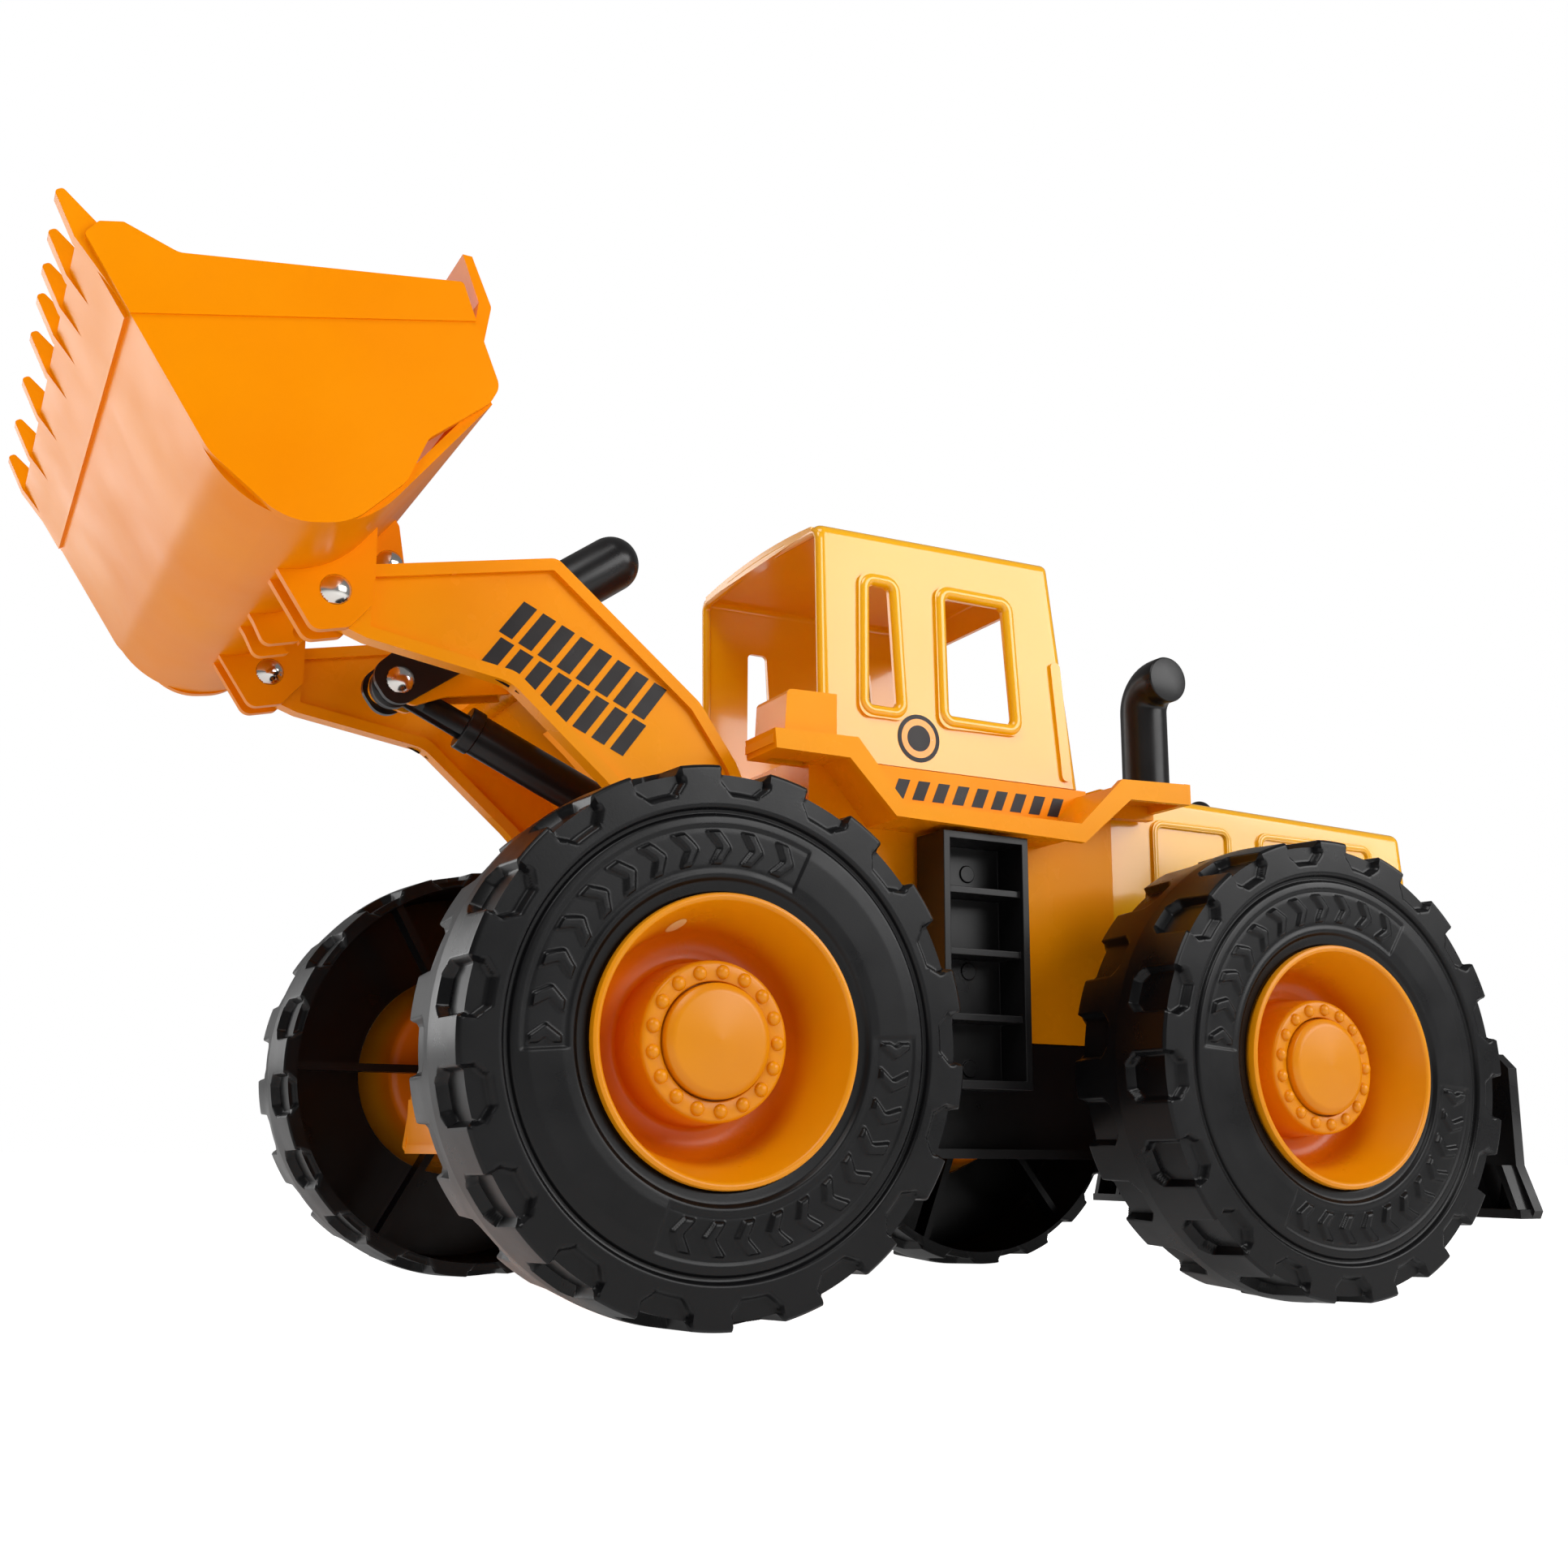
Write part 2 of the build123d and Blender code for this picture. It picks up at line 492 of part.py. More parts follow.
def exhaust_stack():
    """Upright pipe with a rounded elbow that ends in a flat outlet on the left."""
    radius = 7.0
    x, y = STACK_PLACE
    base = hood_top(x) + 0.25
    bend = 8.5
    half_bend = bend * (1 - math.sqrt(0.5))
    outlet_z = 176.6
    path = Line((x, y, base), (x, y, outlet_z - bend))
    path = path + ThreePointArc((x, y, outlet_z - bend),
                                (x, y + half_bend, outlet_z - half_bend),
                                (x, y + bend, outlet_z))
    path = path + Line((x, y + bend, outlet_z), (x, 29.4, outlet_z))
    pipe = sweep(Plane(origin=(x, y, base), z_dir=(0, 0, 1)) * Circle(radius), path=path)
    spigot = Pos(x, y, base - 2.0) * Cylinder(4.0, 5.0)
    return pipe + spigot


def hood_plug():
    x, y = PLUG_PLACE
    seat = hood_top(x) + 0.1
    dome = Pos(x, y, seat - 1.2) * Sphere(3.9)
    dome = dome & block(x - 6, x + 6, y - 6, y + 6, seat, seat + 6)
    return dome + Pos(x, y, seat - 1.5) * Cylinder(1.5, 3.4)


# ---- arms and bucket ----
ARM_OUTLINE = [(47.0, 96.0, 9.0), (60.0, 92.0, 8.0), (92.0, 122.8, 20.0), (116.4, 143.6, 10.0),
               (151.0, 149.2, 6.0), (161.4, 152.9, 3.0), (164.6, 155.8, 3.0), (164.6, 161.2, 3.0),
               (161.4, 164.0, 3.0), (150.5, 167.0, 8.0), (106.2, 176.4, 3.5), (67.4, 145.2, 8.0),
               (57.0, 130.8, 16.0), (46.6, 108.0, 9.0)]
ARM_LIP = 3.0               # width of the raised lip round each arm
ARM_WEB_HALF = 0.9          # half thickness of the arm between its lips


def inset(corners, amount):
    """The outline moved inwards by amount, corner by corner, along the corner's bisector."""
    count = len(corners)
    moved = []
    for index, corner in enumerate(corners):
        last = Vector(*corners[index - 1][:2])
        here = Vector(*corner[:2])
        following = Vector(*corners[(index + 1) % count][:2])
        arriving = (here - last).normalized()
        leaving = (following - here).normalized()
        left = Vector(-arriving.Y, arriving.X)
        bisector = (left + Vector(-leaving.Y, leaving.X)).normalized()
        step = amount / bisector.dot(left)
        spot = here + bisector * step
        moved.append((spot.X, spot.Y, max(corner[2] - amount, 1.0)))
    return moved


def arm_frame():
    """Two cranked arms with lips on both faces, a sloping web between them and the lever lugs."""
    low = ARM_MID_Y - ARM_LIP_HALF
    high = ARM_MID_Y + ARM_LIP_HALF
    arm = prism(ARM_OUTLINE, low, high)
    field = inset(ARM_OUTLINE, ARM_LIP)
    tip = block(BUCKET_PIN[0] - 9.0, 200, low - 2, high + 2, 120, 180)
    for y_low, y_high in ((ARM_MID_Y + ARM_WEB_HALF, high + 1), (low - 1, ARM_MID_Y - ARM_WEB_HALF)):
        arm = arm - (prism(field, y_low, y_high) - tip)
    arm = arm + rod(6.3, ARM_PIVOT, low, high)
    arms = both_sides(arm)
    web_line = [(102.0, 156.0), (84.0, 141.0), (69.0, 126.5)]
    arms = arms + prism(web_line + [(70.8, 124.6), (85.8, 139.0), (103.6, 154.0)],
                        -ARM_MID_Y, ARM_MID_Y)
    arms = arms - block(60.0, 92.0, -6.5, 6.5, 110.0, 152.0)
    cross = rod(3.4, (103.4, 153.6), -ARM_MID_Y, ARM_MID_Y)
    lug = prism([(100.0, 153.4), (104.0, 151.0), (122.0, 147.8), (130.0, 144.4, 3), (140.0, 147.0, 4),
                 (139.0, 155.6, 4), (128.0, 155.2, 4), (104.0, 157.6)], 3.6, 5.0)
    arms = arms + cross + both_sides(lug)
    arms = arms - rod(PIN_RADIUS + RUNNING_GAP, BUCKET_PIN, -60, 60)
    arms = arms - rod(PIN_RADIUS + 0.5 + RUNNING_GAP, ARM_PIVOT, -60, 60)
    return arms - rod(PIN_RADIUS + RUNNING_GAP, LEVER_PIN, -20, 20)


def arm_pivot_pin():
    half = ARM_MID_Y + ARM_LIP_HALF + 0.4
    pin = rod(PIN_RADIUS + 0.5, ARM_PIVOT, -half, half)
    head = rod(4.2, ARM_PIVOT, half, half + 1.4)
    return pin + both_sides(head)


def cylinder_base_pin():
    pin = rod(PIN_RADIUS, CYLINDER_PIVOT, -26.8, 26.8)
    return pin + both_sides(rod(3.4, CYLINDER_PIVOT, 26.8, 28.2))


HEEL = (30.0, 3.2)
HEEL_RADIUS = 24.0
BUCKET_SKIN = 2.2
BACK_TOP = (17.6, 41.2)
FLOOR_LIP = 79.4
GUARD_TOP = (49.4, 54.6)


def bucket_profile(thickness, lip_x):
    """Face between the outer bucket line and the same line moved in by thickness, level bucket."""
    def tangent_point(radius, shift):
        reach = math.hypot(BACK_TOP[0] + shift - HEEL[0], BACK_TOP[1] - HEEL[1])
        towards = math.atan2(BACK_TOP[1] - HEEL[1], BACK_TOP[0] + shift - HEEL[0])
        angle = towards + math.acos(radius / reach)
        return angle, (HEEL[0] + radius * math.cos(angle), HEEL[1] + radius * math.sin(angle))

    parts = []
    for radius, shift in ((HEEL_RADIUS, 0.0), (HEEL_RADIUS - thickness, thickness)):
        angle, touch = tangent_point(radius, shift)
        middle_angle = (angle + math.radians(270)) / 2
        middle = (HEEL[0] + radius * math.cos(middle_angle), HEEL[1] + radius * math.sin(middle_angle))
        parts.append(((BACK_TOP[0] + shift, BACK_TOP[1]), touch, middle, (HEEL[0], HEEL[1] - radius)))
    outer, inner = parts
    edges = [Line(outer[0], outer[1]), ThreePointArc(outer[1], outer[2], outer[3]),
             Line(outer[3], (lip_x, outer[3][1])), Line((lip_x, outer[3][1]), (lip_x, inner[3][1])),
             Line((lip_x, inner[3][1]), inner[3]), ThreePointArc(inner[3], inner[2], inner[1]),
             Line(inner[1], inner[0]), Line(inner[0], outer[0])]
    return make_face([edge.moved(Rot(90, 0, 0)) for edge in edges])


def bucket_side(y_low, y_high):
    """Side plate of the level bucket, measured from the hinge."""
    return prism([(30.0, -20.8, 12.0), (78.6, -20.8, 1.0), (80.0, -17.0, 1.0), (78.4, -12.6, 1.0),
                  (69.2, -5.6, 4.0), (44.2, 48.6, 1.5), (20.0, 44.0, 4.0), (17.6, 40.0, 4.0),
                  (15.6, 23.0, 3.0), (9.0, 13.6, 6.0), (5.6, -2.0, 14.0), (11.0, -14.0, 14.0)],
                 y_low, y_high)


def mouth_strip(y_low, y_high):
    """Slightly thicker strip of the side plate along the bucket's mouth."""
    return prism([(60.8, -20.8), (78.6, -20.8, 1.0), (80.0, -17.0, 1.0), (78.4, -12.6, 1.0),
                  (69.2, -5.6, 4.0), (44.2, 48.6, 1.0), (35.2, 46.6)], y_low, y_high)


# Where the eight teeth stand along the cutting edge, from the left end to the right one.
TOOTH_SHARES = (0.0, 0.115, 0.22, 0.32, 0.455, 0.635, 0.825, 1.0)


def bucket_teeth():
    """Tapered teeth with a spine under the lip."""
    teeth = []
    half_span = BUCKET_HALF - 1.7
    tooth = prism([(64.0, -20.8), (79.0, -22.6), (88.9, -21.4, 0.8), (88.9, -19.6, 0.8),
                   (78.6, -16.6), (64.0, -19.0)], -1.7, 1.7)
    for share in TOOTH_SHARES:
        teeth.append(Pos(0, half_span * (1 - 2 * share), 0) * tooth)
    return teeth


def bucket():
    """Bucket shell with side plates, guard, teeth, four hinge ears and two link lugs."""
    shell = extrude(bucket_profile(BUCKET_SKIN, FLOOR_LIP), amount=BUCKET_HALF - 1.0,
                    dir=(0, 1, 0), both=True)
    plates = both_sides(bucket_side(BUCKET_HALF - 1.8, BUCKET_HALF + 0.9))
    plates = plates + both_sides(mouth_strip(BUCKET_HALF + 0.5, BUCKET_HALF + 1.3))
    guard = prism([(17.6, 38.0), (29.6, 45.6), (37.4, 52.6, 2), GUARD_TOP, (50.6, 52.8),
                   (39.4, 50.4, 1), (31.0, 43.4), (20.0, 36.0)], -BUCKET_HALF + 0.6, BUCKET_HALF - 0.6)
    cutting_edge = prism([(61.0, -21.7), (79.4, -21.7), (79.4, -19.4), (61.0, -19.4)],
                         -BUCKET_HALF + 1.0, BUCKET_HALF - 1.0)
    level = shell + plates + guard + cutting_edge
    for tooth in bucket_teeth():
        level = level + tooth
    ear = [(14.0, 18.6), (8.9, 16.1, 2.0), (-6.4, 6.4, 2.5), (-8.9, -1.6, 2.5), (-6.2, -9.2, 3.0),
           (7.4, -9.4, 1.5), (16.0, -9.4)]
    for y_low, y_high in ((32.2, 34.7), (40.7, 43.2)):
        level = level + both_sides(prism(ear, y_low, y_high) - heel_space(BUCKET_SKIN / 2))
    lug = [(19.0, 36.0), (14.0, 36.0, 2.0), (1.0, 30.4, 4.0), (0.4, 6.0, 4.0), (-1.6, -2.0, 2.0),
           (1.0, -9.6, 2.4), (7.0, -9.0), (15.0, -9.0)]
    level = level + both_sides(prism(lug, 4.6, 7.1) - heel_space(BUCKET_SKIN / 2))
    level = level - rod(PIN_RADIUS + RUNNING_GAP, (0, 0), -60, 60)
    level = level - rod(PIN_RADIUS + RUNNING_GAP, LINK_PIN_LOCAL, -20, 20)
    turn = Pos(BUCKET_PIN[0], 0, BUCKET_PIN[1]) * Rot(0, -BUCKET_ROLL, 0)
    return turn * level


def heel_space(depth):
    """Everything inside the bucket's back and heel, so that ears stop within the skin."""
    filled = bucket_profile(HEEL_RADIUS - 0.5, 40.0)
    space = extrude(filled, amount=80, dir=(0, 1, 0), both=True)
    space = space + rod(HEEL_RADIUS - depth, HEEL, -80, 80)
    return Pos(depth, 0, 0) * space


def bucket_rivets():
    return pair_of(domed_rivet(BUCKET_PIN, 32.2, 43.2))


def link_rivet():
    return domed_rivet(LINK_PIN, -7.1, 7.1)


# ---- tilt lever, link and dummy cylinder ----
LEVER_HALF = 7.0            # half width over the lever's two cheeks
STEM_END = 68.0             # from the lever pin to the stem's end inside the grip


def tilt_lever():
    """Two cheeks on the lever pin that join above the link into one stem for the grip."""
    direction = Vector(GRIP_END[0] - LEVER_PIN[0], GRIP_END[1] - LEVER_PIN[1]).normalized()
    upward = Vector(direction.Y, -direction.X)

    def spot(along, side):
        point = Vector(*LEVER_PIN) + direction * along + upward * side
        return (point.X, point.Y)

    cheek = [spot(-5.8, -5.8) + (5.0,), spot(30.0, -6.0) + (3.0,), spot(40.0, -4.0) + (3.0,),
             spot(46.0, -3.6), spot(46.0, 3.6), spot(36.0, 6.0) + (3.0,),
             spot(27.0, 10.6) + (4.0,), spot(18.0, 9.0) + (5.0,), spot(-5.8, 5.8) + (5.0,)]
    cheeks = both_sides(prism(cheek, 5.2, LEVER_HALF))
    stem = bar(spot(36.0, 0), spot(STEM_END, 0), 3.4)
    bridge = prism([spot(33.0, -3.4), spot(46.0, -3.4), spot(46.0, 3.4), spot(33.0, 3.4)], -5.4, 5.4)
    lever = cheeks + stem + bridge
    lever = lever - rod(PIN_RADIUS + RUNNING_GAP, LEVER_PIN, -20, 20)
    return lever - rod(PIN_RADIUS + RUNNING_GAP, LEVER_LINK_PIN, -20, 20)


def lever_grip():
    """Rounded grip pressed over the end of the lever's stem."""
    direction = Vector(GRIP_END[0] - LEVER_PIN[0], 0, GRIP_END[1] - LEVER_PIN[1]).normalized()
    tip = Vector(GRIP_END[0], 0, GRIP_END[1])
    radius = 7.6
    root = tip - direction * 26.0
    plane = Plane(origin=root, z_dir=direction)
    grip = extrude(plane * Circle(radius), amount=26.0 - radius)
    grip = grip + Pos(*(tip - direction * radius)) * Sphere(radius)
    grip = fillet(grip.edges().filter_by(GeomType.CIRCLE).sort_by(Axis.Z)[0], 1.5)
    stem_end = Vector(LEVER_PIN[0], 0, LEVER_PIN[1]) + direction * (STEM_END + 0.1)
    hole = extrude(Plane(origin=root - direction * 2, z_dir=direction) * Circle(3.45),
                   amount=(stem_end - root).length + 2.2)
    return grip - hole


def tilt_link():
    """Flat link from the lever to the bucket's centre lugs; its bucket end has a loose eye."""
    run = Vector(LINK_PIN[0] - LEVER_LINK_PIN[0], LINK_PIN[1] - LEVER_LINK_PIN[1]).normalized()
    side = Vector(-run.Y, run.X) * 3.0
    start = Vector(*LEVER_LINK_PIN)
    end = Vector(*LINK_PIN)
    body = [(point.X, point.Y) for point in (start - side, end - side, end + side, start + side)]
    link = prism(body, -4.0, 4.0) + rod(4.0, LEVER_LINK_PIN, -4.0, 4.0) + rod(4.0, LINK_PIN, -4.0, 4.0)
    link = link - rod(PIN_RADIUS + RUNNING_GAP, LEVER_LINK_PIN, -9, 9)
    return link - rod(PIN_RADIUS + 0.3, LINK_PIN, -9, 9)


def lever_rivet():
    return domed_rivet(LEVER_PIN, -LEVER_HALF, LEVER_HALF)


def link_pin():
    return domed_rivet(LEVER_LINK_PIN, -LEVER_HALF, LEVER_HALF, head_radius=3.0, head_height=1.2)


CYLINDER_RUN = Vector(LEVER_PIN[0] - CYLINDER_PIVOT[0], LEVER_PIN[1] - CYLINDER_PIVOT[1])
ROD_RADIUS = 3.4
BARREL_RADIUS = 5.4
BARREL_LENGTH = 62.6        # from the base pin to the barrel's mouth
EYE_BORE = 4.0              # loose round the lever rivet: the rod only follows the arms roughly


def on_cylinder(distance):
    """(x, z) of the point on the cylinder's axis at distance from its base pin."""
    step = CYLINDER_RUN.normalized() * distance
    return (CYLINDER_PIVOT[0] + step.X, CYLINDER_PIVOT[1] + step.Y)


def cylinder_barrel():
    """Blind barrel with a base eye."""
    barrel = bar(on_cylinder(3.0), on_cylinder(BARREL_LENGTH), BARREL_RADIUS)
    barrel = barrel + rod(5.8, CYLINDER_PIVOT, -BARREL_RADIUS, BARREL_RADIUS)
    barrel = barrel - bar(on_cylinder(12.0), on_cylinder(BARREL_LENGTH + 1), ROD_RADIUS + 0.4)
    return barrel - rod(PIN_RADIUS + RUNNING_GAP, CYLINDER_PIVOT, -9, 9)


def cylinder_gland():
    """Collar at the barrel's mouth."""
    mouth = BARREL_LENGTH + 0.1
    collar = bar(on_cylinder(mouth), on_cylinder(mouth + 4.0), BARREL_RADIUS + 0.5)
    return collar - bar(on_cylinder(mouth - 1), on_cylinder(mouth + 5), ROD_RADIUS + 0.2)


def cylinder_rod():
    """Rod with a loose eye round the lever's rivet."""
    length = CYLINDER_RUN.length
    eye_half = 2.0
    shaft = bar(on_cylinder(16.0), on_cylinder(length - 9.0), ROD_RADIUS)
    neck = bar(on_cylinder(length - 10.0), on_cylinder(length - 3.4), ROD_RADIUS)
    neck = neck & block(0, 200, -eye_half, eye_half, 80, 200)
    eye = rod(5.6, LEVER_PIN, -eye_half, eye_half)
    return (shaft + neck + eye) - rod(EYE_BORE, LEVER_PIN, -5, 5)


def save(name, shape):
    export_step(Pos(-MID_LENGTH_X, 0, 0) * shape, "parts/" + name + ".step")


# ---- write every piece ----
for make in (tyre, rim, hub_cap):
    for end, x in (("front", AXLE_X), ("rear", -AXLE_X)):
        left = make(x)
        save(make.__name__ + "_" + end + "_left", left)
        save(make.__name__ + "_" + end + "_right", mirror(left, about=Plane.XZ))

save("front_axle", axle(AXLE_X))
save("rear_axle", axle(-AXLE_X))
save("ladder_left", ladder(1))
save("ladder_right", ladder(-1))
for make in (axle_nuts, front_frame, chassis_frame, rear_bumper, deck_body, cab_shell, hood_shell,
             exhaust_stack, hood_plug, body_screws, arm_frame, arm_pivot_pin, bucket, bucket_rivets,
             link_rivet, tilt_lever, lever_grip, tilt_link, lever_rivet, link_pin, cylinder_barrel,
             cylinder_gland, cylinder_rod, cylinder_base_pin):
    save(make.__name__, make())
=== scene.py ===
import json
import math

import bpy
import numpy as np
from mathutils import Matrix, Vector


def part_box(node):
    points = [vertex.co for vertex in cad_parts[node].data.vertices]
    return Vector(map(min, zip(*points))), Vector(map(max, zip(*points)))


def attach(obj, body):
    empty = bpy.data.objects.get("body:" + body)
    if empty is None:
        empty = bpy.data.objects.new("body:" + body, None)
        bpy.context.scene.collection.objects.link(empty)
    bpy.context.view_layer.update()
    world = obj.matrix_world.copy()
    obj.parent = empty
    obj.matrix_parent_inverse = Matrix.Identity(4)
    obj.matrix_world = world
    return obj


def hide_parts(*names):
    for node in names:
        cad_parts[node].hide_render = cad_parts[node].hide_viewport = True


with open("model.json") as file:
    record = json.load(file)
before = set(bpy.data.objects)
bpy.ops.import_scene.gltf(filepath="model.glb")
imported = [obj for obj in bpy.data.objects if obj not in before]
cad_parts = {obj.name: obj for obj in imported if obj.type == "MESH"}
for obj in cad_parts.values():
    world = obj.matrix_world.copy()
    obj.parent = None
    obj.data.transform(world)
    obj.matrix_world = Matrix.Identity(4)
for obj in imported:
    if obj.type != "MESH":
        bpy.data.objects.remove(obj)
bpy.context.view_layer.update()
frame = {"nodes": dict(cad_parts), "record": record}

# A toy wheel loader in moulded plastic and enamelled steel, metres, in the CAD's frame:
# +X forward, +Y to the loader's left, +Z up. Shapes are written in millimetres and scaled here.
MM = 0.001
WHITE = (1.0, 1.0, 1.0, 1.0)
SIDES = (("left", 1), ("right", -1))
WHEELS = ("front_left", "front_right", "rear_left", "rear_right")


# ---- places taken from the frame, in millimetres ----
def box_mm(node):
    low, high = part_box(node)
    return low / MM, high / MM


def middle_mm(node):
    low, high = box_mm(node)
    return (low + high) / 2


TYRE_LOW, TYRE_HIGH = box_mm("tyre_front_left")
TYRE_RADIUS = (TYRE_HIGH.z - TYRE_LOW.z) / 2
TREAD_INNER = TYRE_LOW.y
TREAD_OUTER = TYRE_HIGH.y
AXLE_Z = middle_mm("tyre_front_left").z
AXLES_MID_X = (middle_mm("tyre_front_left").x + middle_mm("tyre_rear_left").x) / 2

# ---- driving dimensions, in millimetres; X runs from midway between the axles ----
# tyres
SHOULDER_Y = TREAD_OUTER - 0.2
SHOULDER_RADIUS = 57.3
CREASE_Y = 80.3                         # the tread is a double cone that meets in this crease
HOLLOW_RADIUS = 53.4                    # inside of the tread
SIDEWALL_BACK = 93.2                    # y of the sidewall's inner face
TYRE_BORE = 29.6                        # radius of the sidewall's opening round the rim
SPOKES = 6
REAR_TURN = math.radians(9)             # the rear tyres stand turned up by this from the front ones
POCKETS = 17
PITCH = 2 * math.pi / POCKETS
POCKET_PHASE = math.radians(8.2)        # from straight ahead up to the first pocket
POCKET_FLOOR = TYRE_RADIUS - 2.5        # radius of the pockets' flat floors
POCKET_SINK = 2.0                       # depth of the pockets below the sidewall
POCKET_HALF_WIDTH = 5.8
POCKET_CUT = 2.8                        # cut off each corner of the octagon
POCKET_WALL = 0.7                       # width of the sloped wall round each pocket
POCKET_REACH = 13.8                     # from a shoulder towards the crease
PANEL = (34.6, 44.6)                    # radii of the sunk, wordless panels on the sidewall
# start and end of each panel, up from straight ahead
PANEL_ARCS = ((math.radians(-5), math.radians(115)), (math.radians(177), math.radians(291)))
PANEL_SINK = 0.3
CHEVRONS = 11                           # plain chevrons in each panel
CHEVRON_HEIGHT = 0.85
CHEVRON_HALF_WIDTH = 1.5
CHEVRON_REACH = 3.6                     # from the point of a chevron to either end, along the radius
CHEVRON_BEND = 0.34                     # how far the ends trail the point, as a share of the spacing
CHEVRON_MARGIN = 1.2                    # kept clear of the panel's edge

# rims
WALL_FOOT = (23.6, 77.4)                # (radius, y) of the bowl's wall at its foot and at the lip
WALL_LIP = (28.6, 98.1)
DRUM_FACE = 90.7                        # y of the raised drum's outer face
RIM_BOLTS = 17
BOLT_CIRCLE = 14.4
BOLT_RADIUS = 1.6
BOLT_HEIGHT = 1.3
HOLE_ANGLE = math.radians(74)           # from straight ahead up to the hole in the bowl's wall
HOLE_Y = 84.6
HOLE_RADIUS = 2.1
HOLE_STRETCH = 1.8                      # oval along the wall's slope, so it looks round from outside
PATCH_LIFT = 0.06                       # the hole's patch stands this far off the wall
BOWL_SHADE_Y = (77.0, 87.0)             # y range of the bowl's painted shade: darkest at the first, plain ochre from the second

# cab, deck and arms
SKIN_Y = 37.0                           # outside of the cab's and hood's sides
FOLD_RADIUS = 1.3                       # rolled edge round the cab's open front
FOLD_FOOT = (31.2, 137.5)               # (x, z) of its ends and of its upper corners
FOLD_TOP = (32.6, 199.2)
ROOF_ARCH = 2.2
CAB_PRINT_Y = 37.04                     # the printed markings lie on these planes
DECK_PRINT_Y = 37.62
ARM_PRINT_Y = 38.62
BADGE_CENTRE = (1.1, 144.8)
STRIPES = 9
STRIPE_START = 10.0
STRIPE_PITCH = 6.3
STRIPE_WIDTH = 3.6
STRIPE_LEAN = 2.2
STRIPE_Z = (127.6, 132.9)
BARS = 8                                # bars in each of the two rows on an arm
BAR_START = (114.9, 165.6)              # (x, z) of the graphic's front top corner
BAR_ROWS = ((0.0, 0.5, 10.6), (-0.4, 11.6, 21.7))      # shift, top and bottom of each row
BAR_PITCH = 5.4
BAR_WIDTH = 3.7
BAR_LEAN = 1.6

# exhaust
EXHAUST_SUNK = 4.5                      # the pipe starts this far above the CAD stack's foot
ELBOW_GAP = 1.2                         # between the pipe and the inside of its elbow's bend
TIP_RADIUS = 0.02                       # closes the pipe's ends

# edges of the CAD pieces
WELD_REACH = 0.01                       # vertices this close are merged
BEVEL_ANGLE = math.radians(30)          # only edges sharper than this are rounded
WHEEL_PARTS = ("tyre_", "hub_cap_", "rim_")            # all replaced by mesh pieces
EDGE_WIDTHS = {"deck_body": 0.9, "cab_shell": 0.45, "hood_shell": 0.45, "bucket": 0.45, "arm_frame": 0.6,
               "front_frame": 0.5, "chassis_frame": 0.5, "rear_bumper": 0.5, "ladder_left": 0.3,
               "ladder_right": 0.3, "tilt_lever": 0.4, "cylinder_barrel": 0.4, "cylinder_gland": 0.4}

# camera and studio
CAMERA_PLACE = (4.0496, 7.0274, 0.6060)                # tyre radii from the ground between the axles
CAMERA_TURN = (-117.515, 12.4985, 0.507)               # yaw, pitch and roll in degrees
CAMERA_LENS = 38.362                    # focal length for a sensor 36 mm wide
FLOOR_REACH = 12000.0                   # half the floor's width
FLOOR_Z = -0.05
SKY_STRENGTH = 0.2          # light from the surround; the camera itself sees it as white
FLOOR_GLOW = 1.0            # brings the floor the camera sees up to the white of the surround
FLOOR_BOUNCE = 0.25         # what the floor adds to the light from below


# ---- mesh helpers ----
def rounded(corners, closed=True, step=0.35):
    """Polyline through corners (a, b[, radius]) with each radius replaced by a short-stepped arc."""
    points = []
    count = len(corners)
    for index, corner in enumerate(corners):
        here = np.array(corner[:2], float)
        at_end = not closed and index in (0, count - 1)
        if len(corner) == 2 or at_end:
            points.append(here)
            continue
        back = np.array(corners[index - 1][:2], float) - here
        ahead = np.array(corners[(index + 1) % count][:2], float) - here
        back /= np.linalg.norm(back)
        ahead /= np.linalg.norm(ahead)
        half = math.acos(max(-1.0, min(1.0, float(back @ ahead)))) / 2
        radius = corner[2]
        reach = radius / math.tan(half)
        middle = (back + ahead) / np.linalg.norm(back + ahead)
        centre = here + middle * radius / math.sin(half)
        start = here + back * reach - centre
        end = here + ahead * reach - centre
        sweep = math.atan2(start[0] * end[1] - start[1] * end[0], float(start @ end))
        steps = max(2, int(abs(sweep) * radius / step))
        for number in range(steps + 1):
            angle = sweep * number / steps
            turn = np.array([[math.cos(angle), -math.sin(angle)], [math.sin(angle), math.cos(angle)]])
            points.append(centre + turn @ start)
    return np.array(points)


def resampled(points, spacing):
    """The polyline with extra points, so that none is further than spacing from the next."""
    result = [points[0]]
    for start, end in zip(points, points[1:]):
        pieces = max(1, math.ceil(float(np.linalg.norm(end - start)) / spacing))
        for number in range(1, pieces + 1):
            result.append(start + (end - start) * number / pieces)
    return np.array(result)


def grid_faces(rows, columns, wrap_rows=False, wrap_columns=True, first=0):
    """Quads over a rows x columns grid of points stored row by row."""
    faces = []
    for row in range(rows if wrap_rows else rows - 1):
        low = row * columns + first
        high = ((row + 1) % rows) * columns + first
        for column in range(columns if wrap_columns else columns - 1):
            beside = (column + 1) % columns
            faces.append((low + column, low + beside, high + beside, high + column))
    return faces


def joined(groups):
    """One point array and face list out of several (points, faces) pairs."""
    points = []
    faces = []
    count = 0
    for shape, shape_faces in groups:
        points.append(shape)
        faces += [tuple(corner + count for corner in face) for face in shape_faces]
        count += len(shape)
    return np.vstack(points), faces


